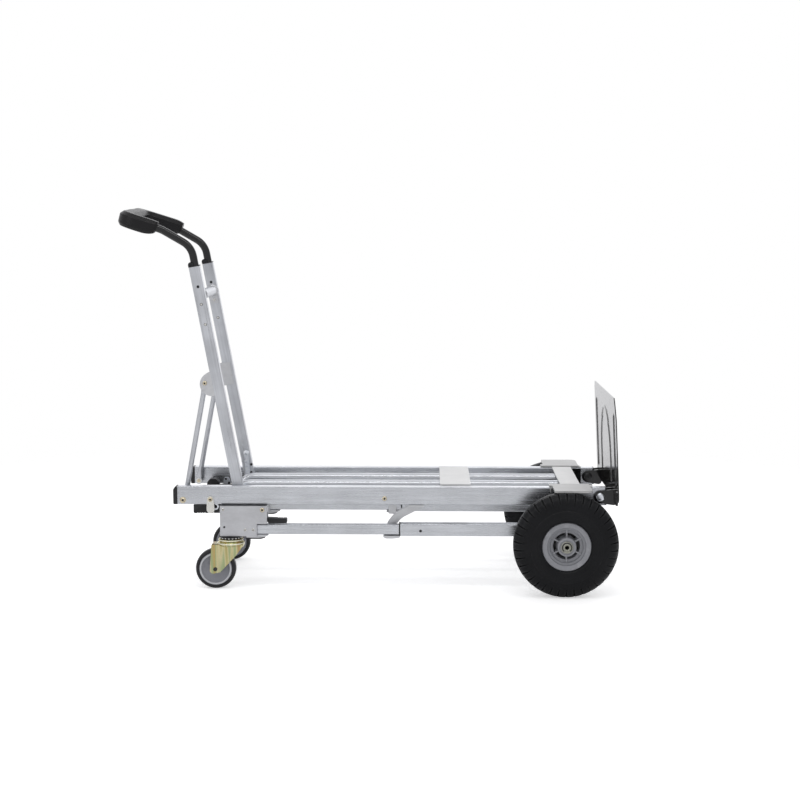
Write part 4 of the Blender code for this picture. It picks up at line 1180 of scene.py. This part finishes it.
def stay_arm(name, side):
    """Cast stay that curves from a saddle under the inner tube up to a pad at the rail."""
    y = (0.1375, 0.1455)
    corners = [Vector(point) for point in ((0.0520, 0.1290), (0.0530, 0.1560), (0.0740, 0.1815),
        (0.1290, 0.2095))]
    route = rounded(corners, [0, 0.030, 0.060, 0], 8, closed=False)
    arm = prism(band(route, 10.4 * MM), (y[0], y[1] - 2 * MM))
    raised = prism(band([point + Vector((-3.4 * MM, 2.6 * MM)) for point in route], 5.6 * MM),
        (y[1] - 3 * MM, y[1] + 0.6 * MM))
    top_cut = block((0.0, 0.2), (0.2093, 0.26), 0, (0.12, 0.20))
    low_cut = block((0.0, 0.2), (0.10, 0.1276), 0, (0.12, 0.20))
    low = 0.1277 if side < 0 else 0.1318
    saddle = rounded([(0.0355, 0.1345), (0.0375, low + 1.6 * MM), (0.0450, low), (0.0600, low),
        (0.0770, low + 2.2 * MM), (0.0770, 0.1345)], mm(1, 4, 4, 8, 1, 0), 4)
    pads = [prism(saddle, (0.1385, 0.1755)), block((0.098, 0.136), (0.2052, 0.2091), MM, (0.1385, 0.162))]
    piece(f"stay_arm_{name}_cast", arm, ALU_CAST, "caster_frame",
        [f"stay_arm_{name}"], side, joins=[raised, *pads], cuts=[top_cut, low_cut], bevel=0.8 * MM)


def inner_tube(name, side):
    """Hollow square tube that slides in the outer strut."""
    y, z = around(INNER_HALF)
    tube = square_tube(y, z, (HOUSING_X[1] + 0.3 * MM, 0.260), 2.4 * MM, 2 * MM)
    piece(f"inner_tube_{name}_drawn", tube, ALU_DECK, "caster_slide",
        [f"inner_tube_{name}"], side, bevel=0.25 * MM)


def caster_housing(name, side):
    """Folded sheet housing with its rivets, bolt, stud and turned lip, and the pad under it."""
    left, step_x, right = HOUSING_X
    low, step_z, high = HOUSING_Z
    sheet = 2.5 * MM
    outline = rounded([(left, low), (step_x, low), (step_x, step_z), (right, step_z), (right, high),
        (left, high)], mm(2, 1, 0.6, 1, 1, 1.4))
    room_y = (HOUSING_Y[0] + sheet, HOUSING_Y[1] - sheet)
    rooms = [block((left + sheet, step_x - sheet), (low + sheet, high + 0.01), 0, room_y),
        block((step_x - 0.01, right - sheet), (step_z + sheet, high + 0.01), 0, room_y),
        block((right - 5 * MM, right + 5 * MM), (0.159, 0.192), 0, (0.1515, 0.1705))]
    piece(f"housing_{name}_folded", prism(outline, HOUSING_Y), SHEET, "caster_slide",
        [f"caster_housing_{name}"], side, cuts=rooms, bevel=0.9 * MM)
    face = HOUSING_Y[1]
    spots = ((-0.358, 0.1995, 3.8 * MM), (-0.304, 0.149, 3.6 * MM), (-0.284, 0.149, 3.6 * MM))
    for index, (x, z, radius) in enumerate(spots):
        bolt(f"housing_rivet_{name}_{index}", (x, 0, z), face, radius, 1.7 * MM, ZINC, "caster_slide", side)
    bolt(f"housing_bolt_{name}", (-0.2615, 0, 0.1990), face, 5.8 * MM, 2.8 * MM, BRASSY, "caster_slide",
        side)
    stud = dome((-0.3555, 0, 0.156), face, 2.6 * MM, 1.4 * MM)
    fitting(f"housing_stud_{name}", stud, DARK, "caster_slide", side)
    lip = prism(rounded([(-0.2745, 0.1366), (-0.2440, 0.1366), (-0.2560, 0.1306), (-0.2700, 0.1286),
        (-0.3020, 0.1290), (-0.3020, 0.1328), (-0.2745, 0.1328)], mm(0, 1, 6, 4, 1, 1, 0), 4),
        (0.1465, 0.1755))
    piece(f"housing_lip_{name}", lip, SHEET, "caster_slide", (), side, bevel=0.5 * MM)
    pad = prism(rounded([(-0.3000, 0.1252), (-0.2660, 0.1252), (-0.2560, 0.1280), (-0.2560, 0.1290),
        (-0.3000, 0.1287)], mm(1.4, 4, 0, 0, 1), 4), (0.1480, 0.1740))
    piece(f"housing_pad_{name}", pad, BLACK_PLASTIC_AND_SHADE, "caster_slide", (), side, bevel=0.6 * MM)


def housing_lever(name, side):
    """Black latch lever with a rounded end and finger grooves."""
    x, y, z = limits("housing_lever_left")
    outline = rounded([(x[0], 0.1685), (x[0], 0.1755), (-0.250, z[1]), (x[1], z[1] - 1.8 * MM),
        (x[1], z[0] + 0.6 * MM), (-0.2475, z[0]), (-0.249, 0.1675)], mm(1, 1, 2, 2.6, 2.6, 2, 1))
    grooves = [block((place, place + 1.3 * MM), (z[1] - 3 * MM, z[1] + 2 * MM), 0, (y[0] - MM, y[1] + MM))
        for place in (-0.2125, -0.2165, -0.2205, -0.2245)]
    piece(f"lever_{name}_moulded", prism(outline, y), BLACK_PLASTIC_AND_SHADE, f"lever_{name}",
        [f"housing_lever_{name}"], side, cuts=grooves, bevel=1.2 * MM)


def caster_cross_tube():
    """Round tube between the two housings, with a flange at each end."""
    x, y, z = limits("caster_cross_tube")
    centre = ((x[0] + x[1]) / 2, 0, (z[0] + z[1]) / 2)
    radius = (x[1] - x[0]) / 2
    profile = [(0, y[0]), (radius + 4 * MM, y[0]), (radius + 4 * MM, y[0] + 2 * MM),
        (radius, y[0] + 3 * MM), (radius, y[1] - 3 * MM), (radius + 4 * MM, y[1] - 2 * MM),
        (radius + 4 * MM, y[1]), (0, y[1])]
    piece("caster_cross_tube_drawn", turned(profile, centre, "Y", 40), ALU_CROSS, "caster_slide",
        ["caster_cross_tube"], bevel=0.3 * MM)


# ---- casters -----------------------------------------------------------------------
def caster_mount(name, side):
    """Top plate, and under it the swivel's race: a toothed ring, a dark core that paints the shade in the
    ring's notches, and a cover.
    """
    y, z = limits("caster_top_plate_left")[1:]
    centre = (SWIVEL.x, STRUT_Y, 0)
    plate = block((-0.3650, -0.3170), y, 4 * MM, (z[1] - 1.4 * MM, z[1]), "Z")
    piece(f"caster_plate_{name}", plate, DARK, "caster_slide", [f"caster_top_plate_{name}"],
        side, bevel=0.5 * MM)
    seat = z[1] - 1.5 * MM
    bottom = 0.1272
    teeth = 20
    outline = []
    for tooth in range(teeth):
        for phase, radius in ((0.0, 28.5), (0.40, 28.5), (0.5, 24.8), (0.90, 24.8)):
            angle = 2 * math.pi * (tooth + phase) / teeth
            outline.append((centre[0] + radius * MM * math.cos(angle),
                centre[1] + radius * MM * math.sin(angle)))
    shape = prism(outline, (bottom, seat), "Z")
    piece(f"caster_dust_ring_{name}", shape, ZINC, "caster_slide", (), side, bevel=0.3 * MM)
    # dark core behind the teeth: painted shade in the notches
    core = rod(27.4 * MM, (bottom, seat - MM), centre, "Z", 56)
    cover = rod(29.5 * MM, (seat - 1.9 * MM, seat), centre, "Z", 56)
    fitting(f"caster_race_shade_core_{name}", core, DARK, "caster_slide", side)
    piece(f"caster_race_cover_{name}", cover, BLACK_PLASTIC_AND_SHADE, "caster_slide", (), side,
        bevel=0.3 * MM)


def caster_fork(name, side):
    """Yellow plated fork: crown with two races, two tapered legs and the wheel's bolt."""
    crown = [(0, 0.1268), (22 * MM, 0.1268), (27.0 * MM, 0.1264), (29.6 * MM, 0.1248), (30.6 * MM, 0.1224),
        (29.8 * MM, 0.1200), (29.2 * MM, 0.1190), (30.4 * MM, 0.1180), (33.0 * MM, 0.1162),
        (34.0 * MM, 0.1136), (33.2 * MM, 0.1106), (31 * MM, 0.1085), (0, 0.1085)]
    shape = turned(crown, (SWIVEL.x, STRUT_Y, 0), "Z", 56)
    outline = rounded([(-0.3880, 0.1118), (-0.3935, 0.0368), (-0.3669, 0.0422), (-0.3273, 0.0847),
        (-0.3078, 0.1118)], mm(3, 8.5, 6, 12, 3), 6)
    legs = [prism(outline, (STRUT_Y + near, STRUT_Y + far))
        for near, far in ((0.0160, 0.0190), (-0.0190, -0.0160))]
    bridge = prism(rounded([(STRUT_Y - 0.0189, 0.1060), (STRUT_Y + 0.0189, 0.1060),
        (STRUT_Y + 0.0189, 0.1125), (STRUT_Y - 0.0189, 0.1125)], mm(1, 1, 3, 3)), (-0.3868, -0.3095), "X")
    piece(f"fork_{name}_pressed", shape, YELLOW, f"fork_{name}", [f"caster_fork_{name}"],
        side, joins=[*legs, bridge], bevel=0.7 * MM, sharp=35)
    # near-white races: polished rings whose colour also paints highlight stripes on the crown
    races = [turned([(radius - 2.4 * MM, level), (radius, level + 1.5 * MM), (radius + 1.4 * MM, level),
        (radius, level - 1.5 * MM)], (SWIVEL.x, STRUT_Y, 0), "Z", 56)
        for radius, level in ((30.4 * MM, 0.1225), (33.6 * MM, 0.1145))]
    piece(f"fork_races_{name}", merged(*races), RACE, f"fork_{name}", (), side,
        bevel=0.5 * MM, sharp=80)
    ends = [dome(CASTER_AXLE, STRUT_Y + 0.0190, 5.2 * MM, 3 * MM),
        turned([(0, STRUT_Y - 0.0188), (5.8 * MM, STRUT_Y - 0.0188, True),
        (5.8 * MM, STRUT_Y - 0.0225, True), (4.2 * MM, STRUT_Y - 0.0232), (0, STRUT_Y - 0.0232)],
        CASTER_AXLE, "Y", 24)]
    shank = rod(3.8 * MM, (STRUT_Y - 0.0158, STRUT_Y + 0.0158), CASTER_AXLE, "Y", 24)
    fitting(f"caster_bolt_{name}", merged(*ends, shank), DARK, f"fork_{name}", side)


def caster_wheel(name, side):
    """Caster's rubber tread and dished hub with a raised outer ring."""
    body = f"caster_wheel_{name}"
    wide, radius, rim = 14 * MM, 50 * MM, 41 * MM
    half = [(rim, wide - 0.4 * MM), (rim + 1.2 * MM, wide), (rim + 4.2 * MM, wide - 0.3 * MM),
        (rim + 6.4 * MM, wide - 1.6 * MM), (rim + 8 * MM, wide - 4 * MM),
        (radius - 0.3 * MM, wide - 7 * MM), (radius, wide - 10 * MM)]
    tread = half + [(r, -a) for r, a in reversed(half)]
    profile = [(r, STRUT_Y + a) for r, a in tread]
    piece(f"caster_tread_{name}", turned(profile, CASTER_AXLE, "Y", 64), CASTER_RUBBER, body,
        [f"caster_tyre_{name}"], side, bevel=0.3 * MM, sharp=40)
    dish = offsets(0, 0, [(4.3, 14.4), (10.5, 14.4), (11.5, 13.4), (12.6, 8.4), (14, 7.2), (22, 6.6),
        (30, 8.2), (33.5, 10.2), (34.8, 12.6), (36.2, 13.3), (39.4, 13.3), (40.6, 12.4)])
    section = dish + [(r, -a) for r, a in reversed(dish)]
    profile = [(r, STRUT_Y + a) for r, a in section]
    raised = offsets(0, STRUT_Y, [(35.4, 13.2), (39.6, 13.2), (39.2, 13.9), (35.8, 13.9)])
    piece(f"caster_ring_{name}", turned(raised, CASTER_AXLE, "Y", 64), CASTER_RING, body, (),
        side, bevel=0)
    piece(f"caster_dish_{name}", turned(profile, CASTER_AXLE, "Y", 64), CASTER_HUB, body,
        [f"caster_hub_{name}"], side, bevel=0.25 * MM, sharp=35)


# ---- release handle ----------------------------------------------------------------
def release_handle():
    """Plated yoke on two straps with hooks, and a grooved black grip across the machine."""
    y = limits("release_yoke")[1]
    body = "release_handle"
    bar_at = Vector((-0.391, 0, 0.1965))
    bar = rod(5 * MM, (y[0] + MM, y[1] - MM), bar_at, "Y", 28)
    straps = []
    for side in SIDES.values():
        outline = arc((RELEASE_PIVOT.x, RELEASE_PIVOT.z), 8.5 * MM, 0, 180, 14)
        outline += arc((bar_at.x + 0.5 * MM, bar_at.z + 1.5 * MM), 10 * MM, 180, 360, 16)
        faces = sorted((side * 0.1634, side * 0.1663))
        straps.append(prism(outline, faces))
    piece("yoke_plated", bar, ZINC, body, ["release_yoke"], joins=straps, bevel=0.5 * MM)
    for name, side in SIDES.items():
        shank = rod(3.9 * MM, (0.1602, 0.1632), RELEASE_PIVOT, "Y", 24)
        bolt(f"release_bolt_{name}", RELEASE_PIVOT, y[1] + 0.2 * MM, 5.8 * MM, 3 * MM, BRASSY, body, side,
            [shank])
        hook = arc((RELEASE_PIVOT.x + 12 * MM, 0.2035), 8 * MM, -120, 100, 18)
        hook += arc((RELEASE_PIVOT.x + 12 * MM, 0.2035), 4.6 * MM, 100, -120, 18)
        piece(f"release_hook_{name}", prism(hook, (0.150, 0.1605)), WHITE_ZINC, body, (),
            side, bevel=0.6 * MM)
    x, y, z = limits("release_grip")
    x = (x[0] - 4 * MM, x[1])
    outline = rounded([(x[0], z[0] + 1.5 * MM), (x[0] + 3 * MM, z[0] - MM), (x[1] - 3 * MM, z[0]),
        (x[1], z[0] + 2.5 * MM), (x[1], z[1] - 1.5 * MM), (x[1] - 2 * MM, z[1]), (-0.400, z[1]),
        (x[0], 0.2035)], MM, 3)
    grooves = [prism(arc((x[0] + offset, z[0]), 1.4 * MM, 0, 345, 23), (y[0] - MM, y[1] + MM))
        for offset in mm(10, 16, 22, 28, 38, 44, 50)]
    waist = block((x[0] + 6 * MM, x[0] + 26 * MM), (z[0] + 6 * MM, z[0] + 17 * MM), 2 * MM,
        (y[1] - 1.2 * MM, y[1] + MM))
    lugs = [prism(rounded([(-0.4320, 0.205), (-0.4010, 0.205), (-0.4010, 0.2230), (-0.4090, 0.2318),
        (-0.4240, 0.2318), (-0.4320, 0.2230)], mm(0, 0, 5, 6, 6, 5)), faces)
        for faces in ((0.078, 0.103), (-0.103, -0.078))]
    piece("release_grip_moulded", prism(outline, y), BLACK_PLASTIC_AND_SHADE, body, ["release_grip"],
        joins=lugs, cuts=[*grooves, waist], bevel=0.5 * MM)


# ---- assembly ----------------------------------------------------------------------
make_camera()
make_light()
make_floor()
end_bars()
cross_plate("mid_cross_plate", True)
cross_plate("toe_cross_plate", False)
axle()
toe_plate()
handle_loop()
handle_cross_bar()
caster_cross_tube()
release_handle()
PER_SIDE = (rail, rail_plugs, deck_tube, fender, hinge_shade_plate, rail_end_strap, axle_bracket, rail_bolts,
    toe_bracket, tyre, hub, upright, upright_collar, gusset, upright_foot, brace_rod, outer_strut, stay_arm,
    inner_tube, caster_housing, housing_lever, caster_mount, caster_fork, caster_wheel)
for side_name, side_sign in SIDES.items():
    for build in PER_SIDE:
        build(side_name, side_sign)
